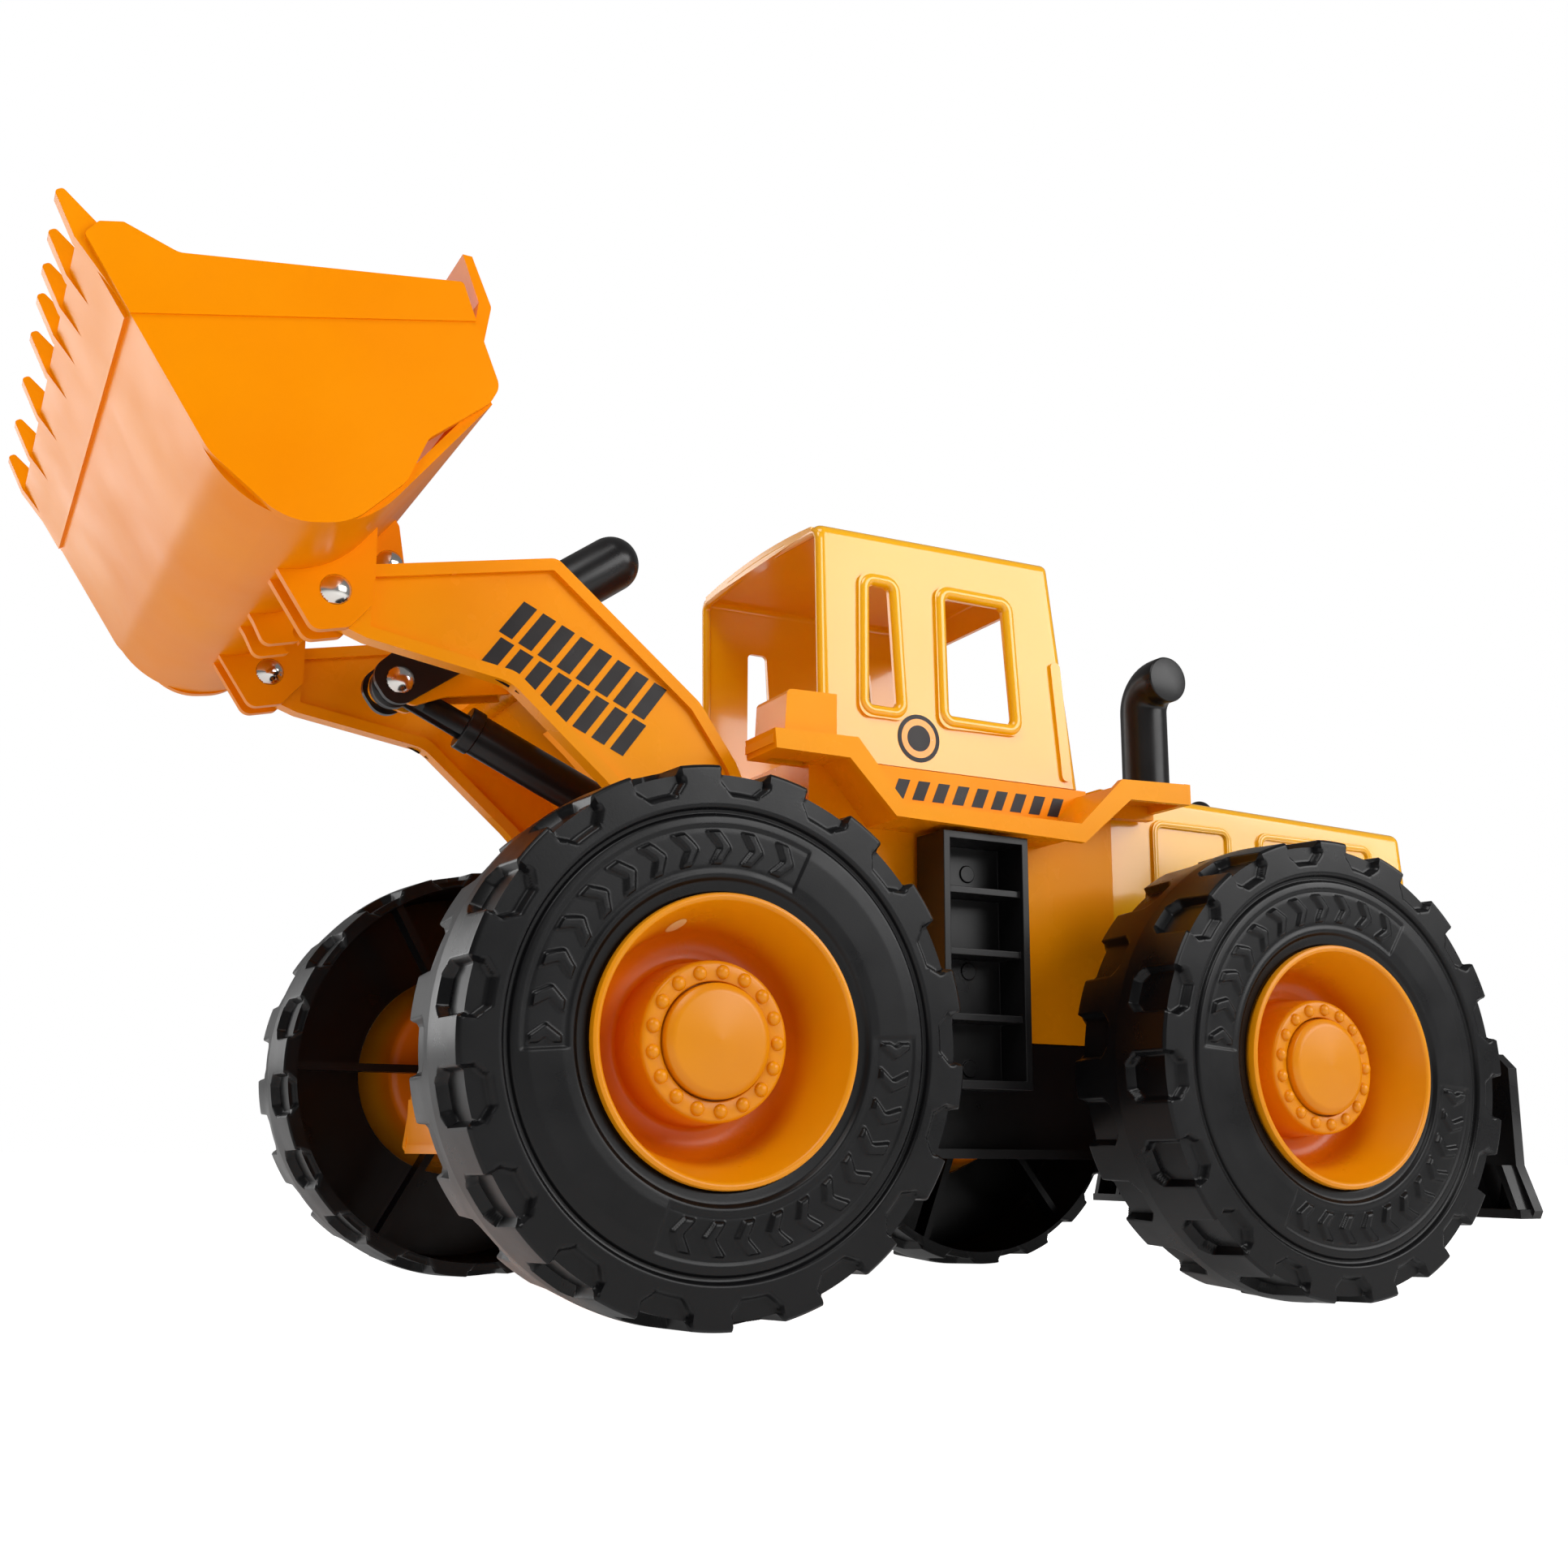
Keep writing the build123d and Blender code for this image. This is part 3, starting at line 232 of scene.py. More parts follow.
def piece_from(name, points, faces, material, smooth_angle=35.0):
    """Mesh object from millimetre points, smooth except across edges sharper than smooth_angle."""
    mesh = bpy.data.meshes.new(name)
    mesh.from_pydata((np.asarray(points, float) * MM).tolist(), [], faces)
    mesh.validate()
    mesh.polygons.foreach_set("use_smooth", [True] * len(mesh.polygons))
    mesh.set_sharp_from_angle(angle=math.radians(smooth_angle))
    mesh.materials.append(material)
    piece = bpy.data.objects.new(name, mesh)
    bpy.context.scene.collection.objects.link(piece)
    return piece


def turned_points(profile, segments):
    """Grid of points for (radius, y) profile points turned about the Y axis."""
    angles = np.linspace(0, 2 * math.pi, segments, endpoint=False)
    radius = profile[:, 0][:, None]
    x = radius * np.cos(angles)
    z = radius * np.sin(angles)
    y = np.repeat(profile[:, 1][:, None], segments, axis=1)
    return np.stack([x, y, z], axis=2).reshape(-1, 3)


def turned_about_axle(points, angle):
    """The points turned up about the axle by angle."""
    turn = np.array([[math.cos(angle), 0, -math.sin(angle)], [0, 1, 0],
                     [math.sin(angle), 0, math.cos(angle)]])
    return points @ turn.T


def box_points(low, high):
    """Corners and faces of a box, as points and faces."""
    x0, y0, z0 = low
    x1, y1, z1 = high
    points = [(x0, y0, z0), (x1, y0, z0), (x1, y1, z0), (x0, y1, z0),
              (x0, y0, z1), (x1, y0, z1), (x1, y1, z1), (x0, y1, z1)]
    faces = [(3, 2, 1, 0), (4, 5, 6, 7), (0, 1, 5, 4), (1, 2, 6, 5), (2, 3, 7, 6), (3, 0, 4, 7)]
    return points, faces


def dome_points(radius, height, rings=5, segments=16):
    """Dome on the plane y = 0, bulging towards +Y, as points and faces."""
    points = [(0.0, height, 0.0)]
    faces = []
    for ring in range(1, rings + 1):
        share = ring / rings * math.pi / 2
        for number in range(segments):
            angle = 2 * math.pi * number / segments
            reach = radius * math.sin(share)
            points.append((reach * math.cos(angle), height * math.cos(share),
                           reach * math.sin(angle)))
    for number in range(segments):
        beside = (number + 1) % segments
        faces.append((0, 1 + beside, 1 + number))
    faces += grid_faces(rings, segments, first=1)
    return np.array(points), faces


# ---- materials ----
class Nodes:
    """Small wrapper that adds shader nodes and links their inputs by name."""

    def __init__(self, name):
        self.material = bpy.data.materials.new(name)
        self.material.use_nodes = True
        self.tree = self.material.node_tree
        self.surface = self.tree.nodes["Principled BSDF"]

    @classmethod
    def around(cls, material):
        """The wrapper for a material that exists already."""
        wrapper = cls.__new__(cls)
        wrapper.material = material
        wrapper.tree = material.node_tree
        wrapper.surface = wrapper.tree.nodes["Principled BSDF"]
        return wrapper

    def add(self, kind, inputs=None, **settings):
        node = self.tree.nodes.new(kind)
        for key, value in settings.items():
            setattr(node, key, value)
        for key, value in (inputs or {}).items():
            self.feed(node, key, value)
        return node

    def feed(self, node, key, value):
        if isinstance(value, bpy.types.NodeSocket):
            self.tree.links.new(value, node.inputs[key])
        else:
            node.inputs[key].default_value = value

    def noise(self, scale, detail):
        place = self.add("ShaderNodeTexCoord").outputs["Object"]
        inputs = {"Vector": place, "Scale": scale, "Detail": detail}
        return self.add("ShaderNodeTexNoise", inputs).outputs["Fac"]

    def between(self, factor, low, high):
        """A number that runs from low to high as factor crosses the middle of a noise's range."""
        inputs = {"Value": factor, "From Min": 0.3, "From Max": 0.7, "To Min": low, "To Max": high}
        return self.add("ShaderNodeMapRange", inputs).outputs["Result"]

    def blend(self, factor, first, second):
        node = self.add("ShaderNodeMix", data_type="RGBA")
        self.feed(node, 0, factor)
        self.feed(node, 6, first)
        self.feed(node, 7, second)
        return node.outputs[2]


def rgba(red, green, blue):
    """Linear colour from sRGB components of 0 to 255."""
    def linear(value):
        value /= 255
        return value / 12.92 if value <= 0.04045 else ((value + 0.055) / 1.055) ** 2.4
    return (linear(red), linear(green), linear(blue), 1.0)


def surface(name, light, dark, rough, grain_size, grain_height, patch=28.0, coat=0.0,
            metallic=0.0, specular=0.5, sheen=WHITE):
    """Moulded or painted finish: mottled colour, uneven gloss, fine grain and slight waviness.

    rough is the lowest and highest roughness; patch is the colour noise's scale per metre.
    """
    shader = Nodes(name)
    body = shader.surface
    patches = shader.noise(patch, 3.0)
    shader.feed(body, "Base Color", shader.blend(shader.between(patches, 0.0, 1.0), dark, light))
    gloss = shader.noise(patch * 2.7, 4.0)
    shader.feed(body, "Roughness", shader.between(gloss, rough[0], rough[1]))
    grain = shader.add("ShaderNodeBump", {"Height": shader.noise(1.0 / (grain_size * MM), 4.0),
                                          "Strength": 0.5, "Distance": grain_height * MM})
    sink = shader.add("ShaderNodeBump", {"Height": shader.noise(60.0, 1.0), "Strength": 0.4,
                                         "Distance": 0.25 * MM,
                                         "Normal": grain.outputs["Normal"]})
    shader.feed(body, "Normal", sink.outputs["Normal"])
    shader.feed(body, "Metallic", metallic)
    shader.feed(body, "Specular IOR Level", specular)
    shader.feed(body, "Specular Tint", sheen)
    shader.feed(body, "Coat Weight", coat)
    shader.feed(body, "Coat Roughness", 0.08)
    return shader.material


def bowl_material_painted_shade():
    """The rims' ochre with painted shade: deeper and redder towards the bottom of the bowl."""
    material = surface("ochre_bowl_painted_shade", rgba(236, 150, 0), rgba(226, 138, 0), (0.26, 0.36), 0.5, 0.012,
                       specular=0.36)
    shader = Nodes.around(material)
    base = shader.surface.inputs["Base Color"]
    ochre = base.links[0].from_socket
    place = shader.add("ShaderNodeTexCoord").outputs["Object"]
    depth = shader.add("ShaderNodeSeparateXYZ", {"Vector": place}).outputs["Y"]
    low, high = BOWL_SHADE_Y
    inputs = {"Value": depth, "From Min": low * MM, "From Max": high * MM}
    share = shader.add("ShaderNodeMapRange", inputs, interpolation_type="SMOOTHSTEP")
    # painted shade: a darker, redder ochre is blended in towards the bottom of the bowl, standing in for
    # the shade there
    shader.feed(shader.surface, "Base Color",
                shader.blend(share.outputs["Result"], rgba(222, 112, 0), ochre))
    return material


WARM_SHEEN = rgba(255, 214, 130)        # the orange plastic's reflections are warm, not white
PLASTIC = surface("orange_plastic", rgba(255, 157, 0), rgba(252, 147, 0), (0.22, 0.3),
                  0.5, 0.012, specular=0.33, sheen=WARM_SHEEN)
OCHRE_PLASTIC = surface("ochre_plastic", rgba(232, 146, 0), rgba(222, 134, 0), (0.26, 0.36),
                        0.5, 0.012, specular=0.36)
BOWL_PLASTIC_PAINTED_SHADE = bowl_material_painted_shade()
PAINT = surface("yellow_enamel", rgba(255, 186, 14), rgba(254, 179, 6), (0.14, 0.22),
                1.6, 0.018, patch=18.0, coat=0.5)
BUCKET_PAINT = surface("bucket_plastic", rgba(254, 150, 0), rgba(250, 141, 0), (0.28, 0.38),
                       1.2, 0.018, patch=18.0, specular=0.17, sheen=WARM_SHEEN)
BLACK_PLASTIC = surface("black_plastic", rgba(22, 21, 22), rgba(16, 15, 16), (0.26, 0.38),
                        0.4, 0.015, specular=0.38)
TYRE_PLASTIC = surface("tyre_vinyl", rgba(11, 11, 13), rgba(8, 8, 9), (0.26, 0.36),
                       0.45, 0.02, specular=0.28)
NICKEL = surface("nickel_plate", rgba(232, 228, 222), rgba(214, 210, 206), (0.1, 0.22),
                 0.3, 0.006, metallic=1.0)
INK = surface("black_ink", rgba(26, 15, 14), rgba(18, 10, 10), (0.26, 0.38), 0.35, 0.03, specular=0.25)
# painted daylight: pale colour of the patches that stand in for light seen through the rims' holes
DAYLIGHT = surface("lit_hole", rgba(255, 226, 160), rgba(252, 214, 140), (0.4, 0.5), 0.5, 0.01)
FILM = surface("decal_film", rgba(255, 166, 0), rgba(252, 158, 0), (0.2, 0.3), 0.5, 0.02, coat=0.2)

SLOT_MATERIALS = {"yellow_plastic": PLASTIC, "yellow_paint": PAINT, "black_plastic": BLACK_PLASTIC,
                  "bright_steel": NICKEL}


# ---- CAD pieces shown as they are, with softened edges ----
def soften(node, width, material):
    """Rounds the CAD piece's edges as a mould or a press would, and gives it its finish."""
    piece = frame["nodes"][node]
    piece.data.materials.clear()
    piece.data.materials.append(material)
    if "custom_normal" in piece.data.attributes:
        piece.data.attributes.remove(piece.data.attributes["custom_normal"])
    piece.data.polygons.foreach_set("use_smooth", [True] * len(piece.data.polygons))
    weld = piece.modifiers.new("weld", "WELD")
    weld.merge_threshold = WELD_REACH * MM
    flat = piece.modifiers.new("flat", "DECIMATE")
    flat.decimate_type = "DISSOLVE"
    flat.angle_limit = math.radians(0.5)
    if width:
        bevel = piece.modifiers.new("bevel", "BEVEL")
        bevel.width = width * MM
        bevel.segments = 3
        bevel.limit_method = "ANGLE"
        bevel.angle_limit = BEVEL_ANGLE
        bevel.harden_normals = True


def soften_frame():
    """Finishes every CAD piece outside the wheels."""
    slots = {part["node"]: part["material_slot"] for part in frame["record"]["subparts"]}
    for node, slot in slots.items():
        if node.startswith(WHEEL_PARTS):
            continue
        material = BUCKET_PAINT if node == "bucket" else SLOT_MATERIALS[slot]
        soften(node, EDGE_WIDTHS.get(node, 0.0), material)


# ---- pressed beads round the windows and the hood's panels, and the cab's rolled front edge ----
def bead(path, half_width, height):
    """Half-round bead that follows a closed line of (x, z) points on the outside of the left skin."""
    path = resampled(np.vstack([path, path[:1]]), 1.0)[:-1]
    count = len(path)
    section = [math.pi * number / 10 for number in range(11)]
    points = []
    for index in range(count):
        along = path[(index + 1) % count] - path[index - 1]
        along /= np.linalg.norm(along)
        for angle in section:
            x, z = path[index] + np.array([-along[1], along[0]]) * half_width * math.cos(angle)
            points.append((x, SKIN_Y + height * math.sin(angle), z))
    return points, grid_faces(count, len(section), wrap_rows=True, wrap_columns=False)


def quad_path(low_x, high_x, low_z, high_z, lean_low=0.0, lean_high=0.0, radius=3.0):
    """Rounded outline of a window or panel; lean moves a bottom corner along X."""
    corners = [(low_x + lean_low, low_z, radius), (low_x, high_z, radius), (high_x, high_z, radius),
               (high_x + lean_high, low_z, radius)]
    return rounded([(x + AXLES_MID_X, z, r) for x, z, r in corners])


# the line, half width and height of each bead
BEADS = {
    "small_window": (quad_path(8.7, 18.4, 150.6, 187.4, lean_low=-2.5), 1.7, 1.6),
    "large_window": (quad_path(-28.5, -5.8, 150.6, 187.6, lean_low=-2.6, lean_high=-1.0), 1.8, 1.6),
    "hood_panel_front": (quad_path(-106.2, -78.4, 93.0, 129.4), 1.2, 1.1),
    "hood_panel_rear": (quad_path(-163.4, -118.6, 93.0, 129.4), 1.2, 1.1),
}


def make_beads():
    """Beads on both sides; the right-hand ones are mirrored."""
    for feature, (path, half_width, height) in BEADS.items():
        points, faces = bead(path, half_width, height)
        for side_name, side in SIDES:
            placed = [(x, side * y, z) for x, y, z in points]
            kept = faces if side > 0 else [tuple(reversed(face)) for face in faces]
            piece = piece_from(feature + "_bead_" + side_name, placed, kept, PAINT, 60.0)
            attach(piece, "chassis")


def cab_fold():
    """Rolled edge round the cab's open front: up the left post, over the arched roof and down."""
    foot_x, foot_z = FOLD_FOOT
    top_x, top_z = FOLD_TOP
    post_y = SKIN_Y - FOLD_RADIUS
    corners = [(-post_y, foot_z), (-post_y, top_z, 3.0), (0.0, top_z + ROOF_ARCH, 300.0),
               (post_y, top_z, 3.0), (post_y, foot_z)]
    path = resampled(rounded(corners, closed=False), 2.0)
    segments = 14
    points = []
    for index, (y, z) in enumerate(path):
        along = path[min(index + 1, len(path) - 1)] - path[max(index - 1, 0)]
        along /= np.linalg.norm(along)
        lean = (z - foot_z) * (top_x - foot_x) / (top_z - foot_z)
        x = AXLES_MID_X + foot_x + lean - FOLD_RADIUS
        for number in range(segments):
            angle = 2 * math.pi * number / segments
            out = FOLD_RADIUS * math.cos(angle)
            points.append((x + FOLD_RADIUS * math.sin(angle), y + along[1] * out, z - along[0] * out))
    piece = piece_from("cab_front_fold", points, grid_faces(len(path), segments), PAINT, 60.0)
    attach(piece, "chassis")


# ---- exhaust stack ----
def exhaust_rings(low, high):
    """(radius, y, z, lean) of the pipe's rings, from its foot through the elbow to its flat outlet."""
    radius = (high.x - low.x) / 2
    axis_y = low.y + radius
    base = low.z + EXHAUST_SUNK
    bend = radius + ELBOW_GAP
    top = high.z - radius
    rings = [(TIP_RADIUS, axis_y, base, 0.0), (radius, axis_y, base, 0.0),
             (radius, axis_y, top - bend, 0.0)]
    steps = 14
    for number in range(1, steps + 1):
        angle = math.pi / 2 * number / steps
        y = axis_y + bend * (1 - math.cos(angle))
        rings.append((radius, y, top - bend + bend * math.sin(angle), angle))
    for inset, back in ((0.0, 0.5), (0.15, 0.15), (0.5, 0.0)):
        rings.append((radius - inset, high.y - back, top, math.pi / 2))
    rings.append((TIP_RADIUS, high.y, top, math.pi / 2))
    return rings


def make_exhaust():
    """Upright pipe that turns through a tight elbow to a flat outlet facing left."""
    low, high = box_mm("exhaust_stack")
    axis_x = (low.x + high.x) / 2
    rings = exhaust_rings(low, high)
    segments = 72
    points = []
    for radius, y, z, lean in rings:
        for number in range(segments):
            angle = 2 * math.pi * number / segments
            across = radius * math.sin(angle)
            points.append((axis_x + radius * math.cos(angle), y + across * math.cos(lean),
                           z - across * math.sin(lean)))
    pipe = piece_from("exhaust_elbow", points, grid_faces(len(rings), segments), BLACK_PLASTIC, 50.0)
    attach(pipe, "chassis")
    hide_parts("exhaust_stack")


# ---- wheels ----
def wheel_matrix(wheel):
    """Puts a left-hand shape, centred on its axle, on the given wheel."""
    place = middle_mm("tyre_" + wheel)
    move = Matrix.Translation((place.x * MM, 0, AXLE_Z * MM))
    if wheel.endswith("right"):
        return move @ Matrix.Rotation(math.pi, 4, "Z")
    return move


def place_copies(kind, ending, wheels, points, faces, material, smooth_angle):
    """One mesh shared by several wheels; each copy takes the place of its CAD node."""
    first = None
    for wheel in wheels:
        name = kind + "_" + wheel + ending
        if first is None:
            piece = piece_from(name, points, faces, material, smooth_angle)
            first = piece
        else:
            piece = bpy.data.objects.new(name, first.data)
            bpy.context.scene.collection.objects.link(piece)
        piece.matrix_world = wheel_matrix(wheel)
        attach(piece, "wheel_" + wheel)
        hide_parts(kind + "_" + wheel)


def tyre_profile(spacing):
    """(radius, y) from the inner edge of the tread, over both shoulders, to the rim."""
    corners = [(HOLLOW_RADIUS, TREAD_INNER), (SHOULDER_RADIUS - 0.2, TREAD_INNER, 0.3),
               (TYRE_RADIUS, CREASE_Y, 3.0), (SHOULDER_RADIUS, SHOULDER_Y - 0.6, 0.3),
               (SHOULDER_RADIUS - 0.6, SHOULDER_Y, 0.3),
               (48.3, SHOULDER_Y, 0.6), (47.8, 96.3, 0.3), (47.0, 96.1, 0.3), (46.4, 97.0, 0.5),
               (43.0, 97.25, 6.0), (36.0, 97.1, 6.0), (33.6, 96.8, 0.6), (32.8, 96.0, 0.6),
               (30.6, 95.7, 0.5), (TYRE_BORE, 95.0)]
    return resampled(rounded(corners, closed=False), spacing)


def ramp(distance, width):
    """0 outside, 1 deeper than width inside; distance is negative inside."""
    return np.clip(-distance / width, 0.0, 1.0)


def octagon_distance(along, across, low, high):
    """Signed distance to an octagon that spans low to high across, and the pocket's width along."""
    centre = (low + high) / 2
    half = (high - low) / 2
    sides = np.maximum(np.abs(along) - POCKET_HALF_WIDTH, np.abs(across - centre) - half)
    corner = np.abs(along) + np.abs(across - centre) - (POCKET_HALF_WIDTH + half - POCKET_CUT)
    return np.maximum(sides, corner / math.sqrt(2))


def pockets(radius, y, theta):
    """Sinks the two staggered rows of octagonal pockets, each wrapped over a shoulder."""
    for edge, side, shift, down in ((SHOULDER_Y, 1, 0.0, 6.4), (TREAD_INNER, -1, 0.5, 4.0)):
        local = (theta - POCKET_PHASE + shift * PITCH + PITCH / 2) % PITCH - PITCH / 2
        along = radius * np.sin(local)
        from_edge = side * (edge - y)
        across = np.maximum(SHOULDER_RADIUS - radius, 0.0) - from_edge
        sunk = ramp(octagon_distance(along, across, -POCKET_REACH, down), POCKET_WALL)
        near = from_edge < POCKET_REACH + 1
        sunk = np.where(near, sunk, 0.0)
        excess_radius = np.maximum(0.0, radius - POCKET_FLOOR)
        excess_y = np.maximum(0.0, POCKET_SINK - from_edge)
        radius = radius - sunk * excess_radius
        y = y - side * sunk * excess_y
    return radius, y


def panel_relief(radius, theta):
    """Height of the sidewall's sunk arc panels and the plain chevrons that stand in them."""
    height = np.zeros_like(radius)
    middle = (PANEL[0] + PANEL[1]) / 2
    for start, end in PANEL_ARCS:
        turn = (theta - start) % (2 * math.pi)
        span = end - start
        inside = np.maximum(PANEL[0] - radius, radius - PANEL[1])
        inside = np.maximum(inside, np.maximum(-turn, turn - span) * middle)
        height -= PANEL_SINK * ramp(inside, 0.4)
        cell = span / CHEVRONS
        place = (turn / cell) % 1.0
        bend = CHEVRON_BEND * np.abs(radius - middle) / CHEVRON_REACH
        off = np.abs((place + bend) % 1.0 - 0.5) * cell * middle
        bar = np.maximum(off - CHEVRON_HALF_WIDTH, np.abs(radius - middle) - CHEVRON_REACH)
        bar = np.maximum(bar, inside + CHEVRON_MARGIN)
        height += CHEVRON_HEIGHT * ramp(bar, 0.45)
    return height


def tyre_hub():
    """Hub sleeve and flat spokes inside the tyre, as (points, faces) pairs."""
    sleeve = rounded([(2.6, 65.5), (7.0, 65.5, 0.5), (7.0, 74.8, 0.5), (2.6, 74.8)])
    shapes = [(turned_points(sleeve, 64), grid_faces(len(sleeve), 64, wrap_rows=True))]
    for index in range(SPOKES):
        angle = 2 * math.pi * index / SPOKES
        corners, faces = box_points((6.0, 68.0, -1.1), (53.9, 74.6, 1.1))
        shapes.append((turned_about_axle(np.array(corners), angle), faces))
    return shapes


def tyre_mesh():
    """One tyre, centred on its axle, outboard side towards +Y."""
    columns = POCKETS * 52
    profile = tyre_profile(0.48)
    rows = len(profile)
    theta = np.linspace(0, 2 * math.pi, columns, endpoint=False)[None, :].repeat(rows, axis=0)
    radius = profile[:, 0][:, None].repeat(columns, axis=1)
    y = profile[:, 1][:, None].repeat(columns, axis=1)
    on_side = (radius < PANEL[1] + 1.4) & (y > SHOULDER_Y - 3)
    y = y + np.where(on_side, panel_relief(radius, theta), 0.0)
    radius, y = pockets(radius, y, theta)
    outer = np.stack([radius * np.cos(theta), y, radius * np.sin(theta)], axis=2).reshape(-1, 3)
    faces = grid_faces(rows, columns)
    inner_line = np.array([(TYRE_BORE, 95.0), (TYRE_BORE, SIDEWALL_BACK),
                           (HOLLOW_RADIUS - 0.5, SIDEWALL_BACK),
                           (HOLLOW_RADIUS, SIDEWALL_BACK - 0.8), (HOLLOW_RADIUS, TREAD_INNER)])
    inner = turned_points(inner_line, columns)
    faces += grid_faces(len(inner_line), columns, first=len(outer))
    return joined([(np.vstack([outer, inner]), faces)] + tyre_hub())


def make_tyres():
    """Front tyres as drawn, rear tyres turned on their axle by REAR_TURN."""
    points, faces = tyre_mesh()
    rear_points = turned_about_axle(points, REAR_TURN)
    for end, end_points in (("front", points), ("rear", rear_points)):
        wheels = (end + "_left", end + "_right")
        place_copies("tyre", "_moulded", wheels, end_points, faces, TYRE_PLASTIC, 50.0)


def rim_line():
    """Closed (radius, y) outline of the bowl-shaped rim with its raised drum."""
    return rounded([(2.6, 75.0), (5.2, 75.0), (5.2, 84.4), (14.6, 84.4), (15.2, 75.2, 0.5),
                    (24.4, 75.2, 3.0), (29.3, 94.0), (29.3, 96.3), (30.2, 96.3), (30.2, 98.1, 0.8),
                    (*WALL_LIP, 0.8), (*WALL_FOOT, 4.6), (17.4, 77.2, 1.2),
                    (16.8, DRUM_FACE, 1.1), (12.4, DRUM_FACE, 0.4),
                    (12.3, 88.4), (9.0, 88.4), (9.0, 86.4), (2.6, 86.4)], step=0.5)


def rim_mesh():
    """Rim turned from its outline, with domed bolts round the drum."""
    line = rim_line()
    segments = 136
    groups = [(turned_points(line, segments), grid_faces(len(line), segments, wrap_rows=True))]
    for index in range(RIM_BOLTS):
        angle = 2 * math.pi * (index + 0.5) / RIM_BOLTS
        dome, faces = dome_points(BOLT_RADIUS, BOLT_HEIGHT)
        place = (BOLT_CIRCLE * math.cos(angle), DRUM_FACE - 0.15, BOLT_CIRCLE * math.sin(angle))
        groups.append((dome + place, faces))
    return joined(groups)


def painted_daylight_patch():
    """Patch that lies on the bowl's wall, painted pale as the daylight that shows through the hole."""
    slope = (WALL_LIP[0] - WALL_FOOT[0]) / (WALL_LIP[1] - WALL_FOOT[1])
    reaches = (0.02, 0.7, 1.4, HOLE_RADIUS)
    segments = 32
    points = []
    for reach in reaches:
        for number in range(segments):
            around = 2 * math.pi * number / segments
            y = HOLE_Y + HOLE_STRETCH * reach * math.sin(around)
            radius = WALL_FOOT[0] + (y - WALL_FOOT[1]) * slope - PATCH_LIFT
            angle = HOLE_ANGLE + reach * math.cos(around) / radius
            points.append((radius * math.cos(angle), y, radius * math.sin(angle)))
    return points, grid_faces(len(reaches), segments)


def make_rims():
    """Bowl-shaped rims, each with a pale patch of painted daylight at its moulding hole."""
    points, faces = rim_mesh()
    place_copies("rim", "_bowl", WHEELS, points, faces, BOWL_PLASTIC_PAINTED_SHADE, 40.0)
    points, faces = painted_daylight_patch()
    for wheel in WHEELS:
        patch = piece_from("rim_hole_" + wheel, points, faces, DAYLIGHT)
        patch.matrix_world = wheel_matrix(wheel)
        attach(patch, "wheel_" + wheel)


def make_hub_caps():
    """Domed caps with a rolled edge."""
    profile = rounded([(0.0, 91.4), (9.0, 90.9, 1.0), (10.6, 88.4), (12.0, 88.4), (12.0, 92.1, 0.6),
                       (10.4, 93.0, 2.4), (0.0, 93.7)], closed=False)
    points = turned_points(profile, 96)
    faces = grid_faces(len(profile), 96)
    place_copies("hub_cap", "_domed", WHEELS, points, faces, OCHRE_PLASTIC, 60.0)


# ---- printed markings, plain and wordless ----
def plate(name, outline, y, thickness, material, body):
    """Thin sheet with an outline of (x, z) points, standing thickness proud of the plane y."""
    count = len(outline)
    lift = math.copysign(thickness, y)
    points = [(x, y, z) for x, z in outline] + [(x, y + lift, z) for x, z in outline]
    front = tuple(range(count, 2 * count))
    back = tuple(reversed(range(count)))
    sides = [(i, (i + 1) % count, count + (i + 1) % count, count + i) for i in range(count)]
    piece = piece_from(name, points, [front, back] + sides, material)
    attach(piece, body)


def stripe_band():
    """Skewed black stripes along the foot of the cab, on both sides."""
    low, high = STRIPE_Z
    for side_name, side in SIDES:
        for index in range(STRIPES):
            x = AXLES_MID_X + STRIPE_START - index * STRIPE_PITCH
            outline = [(x, low), (x - STRIPE_WIDTH, low), (x - STRIPE_LEAN - STRIPE_WIDTH, high),
                       (x - STRIPE_LEAN, high)]
            name = f"stripe_{side_name}_{index + 1}"
            plate(name, outline, side * DECK_PRINT_Y, 0.08, INK, "chassis")


def ring_points(centre, radius, count=64):
    """Circle of (x, z) points."""
    angles = [2 * math.pi * index / count for index in range(count)]
    return [(centre[0] + radius * math.cos(a), centre[1] + radius * math.sin(a)) for a in angles]


def badge():
    """Plain black roundel with a dot on each cab side."""
    centre = (AXLES_MID_X + BADGE_CENTRE[0], BADGE_CENTRE[1])
    discs = (("ring", 6.6, 0.06, INK), ("field", 5.4, 0.10, FILM), ("dot", 3.6, 0.14, INK))
    for side_name, side in SIDES:
        for kind, radius, thickness, material in discs:
            name = f"badge_{kind}_{side_name}"
            plate(name, ring_points(centre, radius), side * CAB_PRINT_Y, thickness, material, "chassis")


def arm_graphic():
    """Two rows of slanted black bars that follow the slope of each arm."""
    along = Vector((-39.9, -17.8)).normalized()
    down = Vector((5.5, -11.1)).normalized()
    start = Vector((AXLES_MID_X + BAR_START[0], BAR_START[1]))
    for side_name, side in SIDES:
        for row, (shift, low, high) in enumerate(BAR_ROWS):
            for index in range(BARS):
                left = shift + index * BAR_PITCH
                right = left + BAR_WIDTH
                bar = [(left, high), (right, high), (right + BAR_LEAN, low), (left + BAR_LEAN, low)]
                outline = [tuple(start + along * run + down * drop) for run, drop in bar]
                name = f"arm_bar_{side_name}_{row + 1}_{index + 1}"
                plate(name, outline, side * ARM_PRINT_Y, 0.08, INK, "arms")


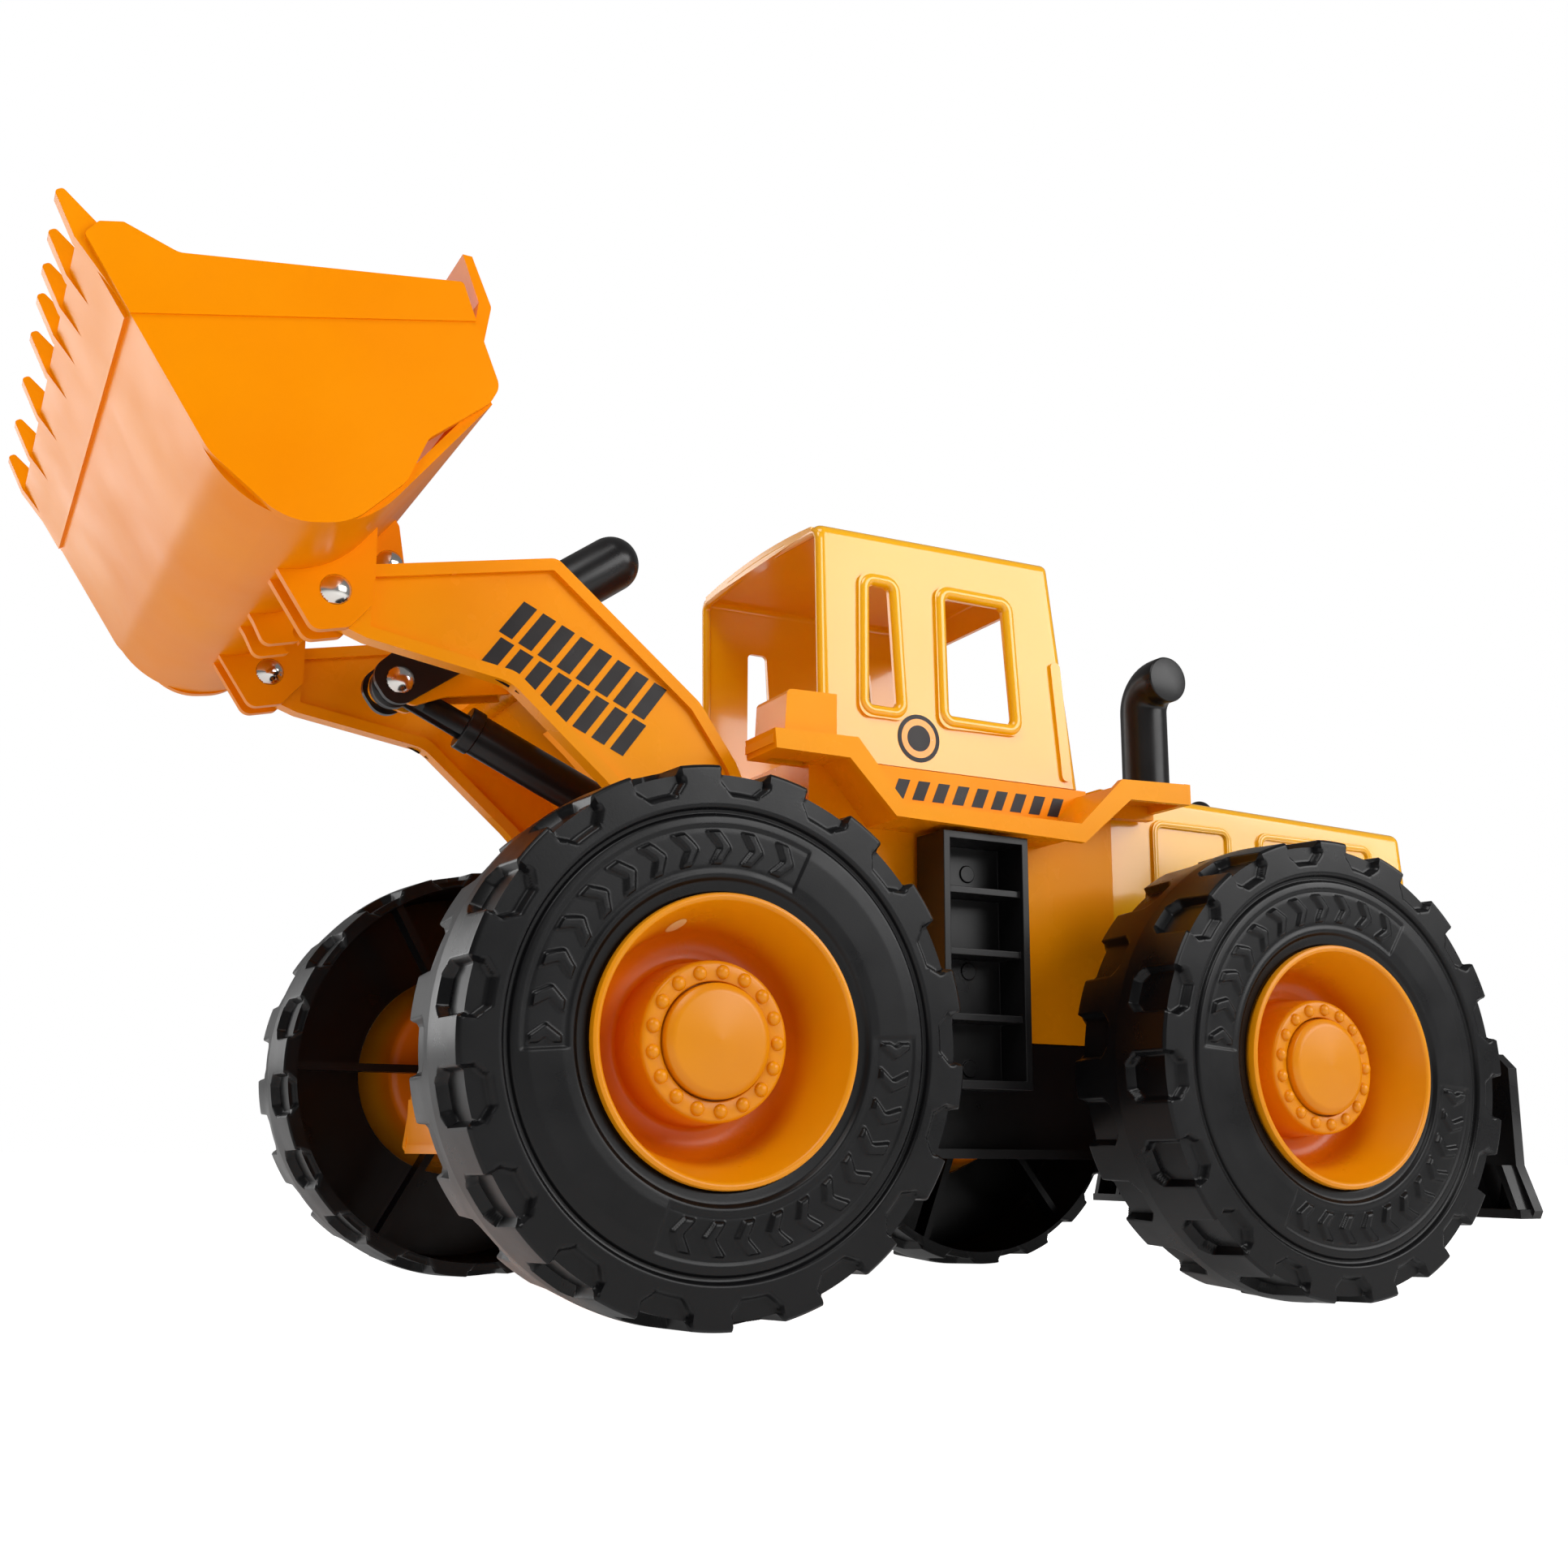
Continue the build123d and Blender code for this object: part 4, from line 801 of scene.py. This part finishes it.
# ---- camera: low, ahead of the front left wheel, looking slightly up ----
def aim_camera():
    """Camera placed in tyre radii from the point on the ground midway between the axles."""
    unit = TYRE_RADIUS * MM
    place = Vector(CAMERA_PLACE) * unit + Vector((AXLES_MID_X * MM, 0, 0))
    yaw, pitch, roll = (math.radians(angle) for angle in CAMERA_TURN)
    ahead = Vector((math.cos(yaw) * math.cos(pitch), math.sin(yaw) * math.cos(pitch), math.sin(pitch)))
    right = ahead.cross(Vector((0, 0, 1))).normalized()
    up = right.cross(ahead)
    right_rolled = right * math.cos(roll) + up * math.sin(roll)
    up_rolled = up * math.cos(roll) - right * math.sin(roll)
    data = bpy.data.cameras.new("camera")
    data.sensor_width = 36.0
    data.lens = CAMERA_LENS
    data.clip_start = 0.01
    data.clip_end = 50.0
    camera = bpy.data.objects.new("camera", data)
    bpy.context.scene.collection.objects.link(camera)
    turn = Matrix((right_rolled, up_rolled, -ahead)).transposed()
    camera.matrix_world = Matrix.Translation(place) @ turn.to_4x4()
    bpy.context.scene.camera = camera


# ---- studio ----
def studio_floor():
    """Wide pale floor, seen by the camera as white as the surround."""
    material = Nodes("floor_paper")
    tone = material.between(material.noise(6.0, 3.0), 0.90, 0.94)
    colour = material.add("ShaderNodeCombineColor", {"Red": tone, "Green": tone, "Blue": tone})
    material.feed(material.surface, "Base Color", colour.outputs["Color"])
    material.feed(material.surface, "Roughness", 0.9)
    material.feed(material.surface, "Emission Color", WHITE)
    seen = material.add("ShaderNodeLightPath").outputs["Is Camera Ray"]
    glow = material.add("ShaderNodeMapRange", {"Value": seen, "To Min": FLOOR_BOUNCE,
                                               "To Max": FLOOR_GLOW})
    material.feed(material.surface, "Emission Strength", glow.outputs["Result"])
    corners = ((-1, -1), (1, -1), (1, 1), (-1, 1))
    points = [(FLOOR_REACH * x, FLOOR_REACH * y, FLOOR_Z) for x, y in corners]
    floor = piece_from("floor", points, [(0, 1, 2, 3)], material.material)


def softbox(name, place, target, size, power):
    """Rectangular area light; place, target and size are in metres, power is in watts."""
    data = bpy.data.lights.new(name, "AREA")
    data.shape = "RECTANGLE"
    data.size, data.size_y = size
    data.energy = power
    lamp = bpy.data.objects.new(name, data)
    bpy.context.scene.collection.objects.link(lamp)
    lamp.location = place
    lamp.rotation_mode = "QUATERNION"
    lamp.rotation_quaternion = (Vector(target) - Vector(place)).to_track_quat("-Z", "Y")


def white_surround():
    """Even white sky for light and for the background."""
    world = bpy.data.worlds.new("studio")
    bpy.context.scene.world = world
    world.use_nodes = True
    tree = world.node_tree
    back = tree.nodes["Background"]
    back.inputs["Color"].default_value = WHITE
    path = tree.nodes.new("ShaderNodeLightPath")
    strength = tree.nodes.new("ShaderNodeMapRange")
    strength.inputs["To Min"].default_value = SKY_STRENGTH
    strength.inputs["To Max"].default_value = 1.0
    tree.links.new(path.outputs["Is Camera Ray"], strength.inputs["Value"])
    tree.links.new(strength.outputs["Result"], back.inputs["Strength"])


soften_frame()
make_beads()
cab_fold()
make_exhaust()
make_tyres()
make_rims()
make_hub_caps()
stripe_band()
badge()
arm_graphic()

aim_camera()
studio_floor()
white_surround()
softbox("key", (0.6, 0.8, 1.4), (0.0, 0.0, 0.1), (0.8, 0.8), 9.5)
softbox("side_panel", (-0.8, 1.05, 0.62), (-0.05, 0.0, 0.16), (1.05, 0.6), 9.5)
softbox("far_front", (1.0, -1.3, 0.45), (0.05, 0.0, 0.1), (0.9, 0.7), 6.0)
bpy.context.scene.view_settings.view_transform = "Standard"
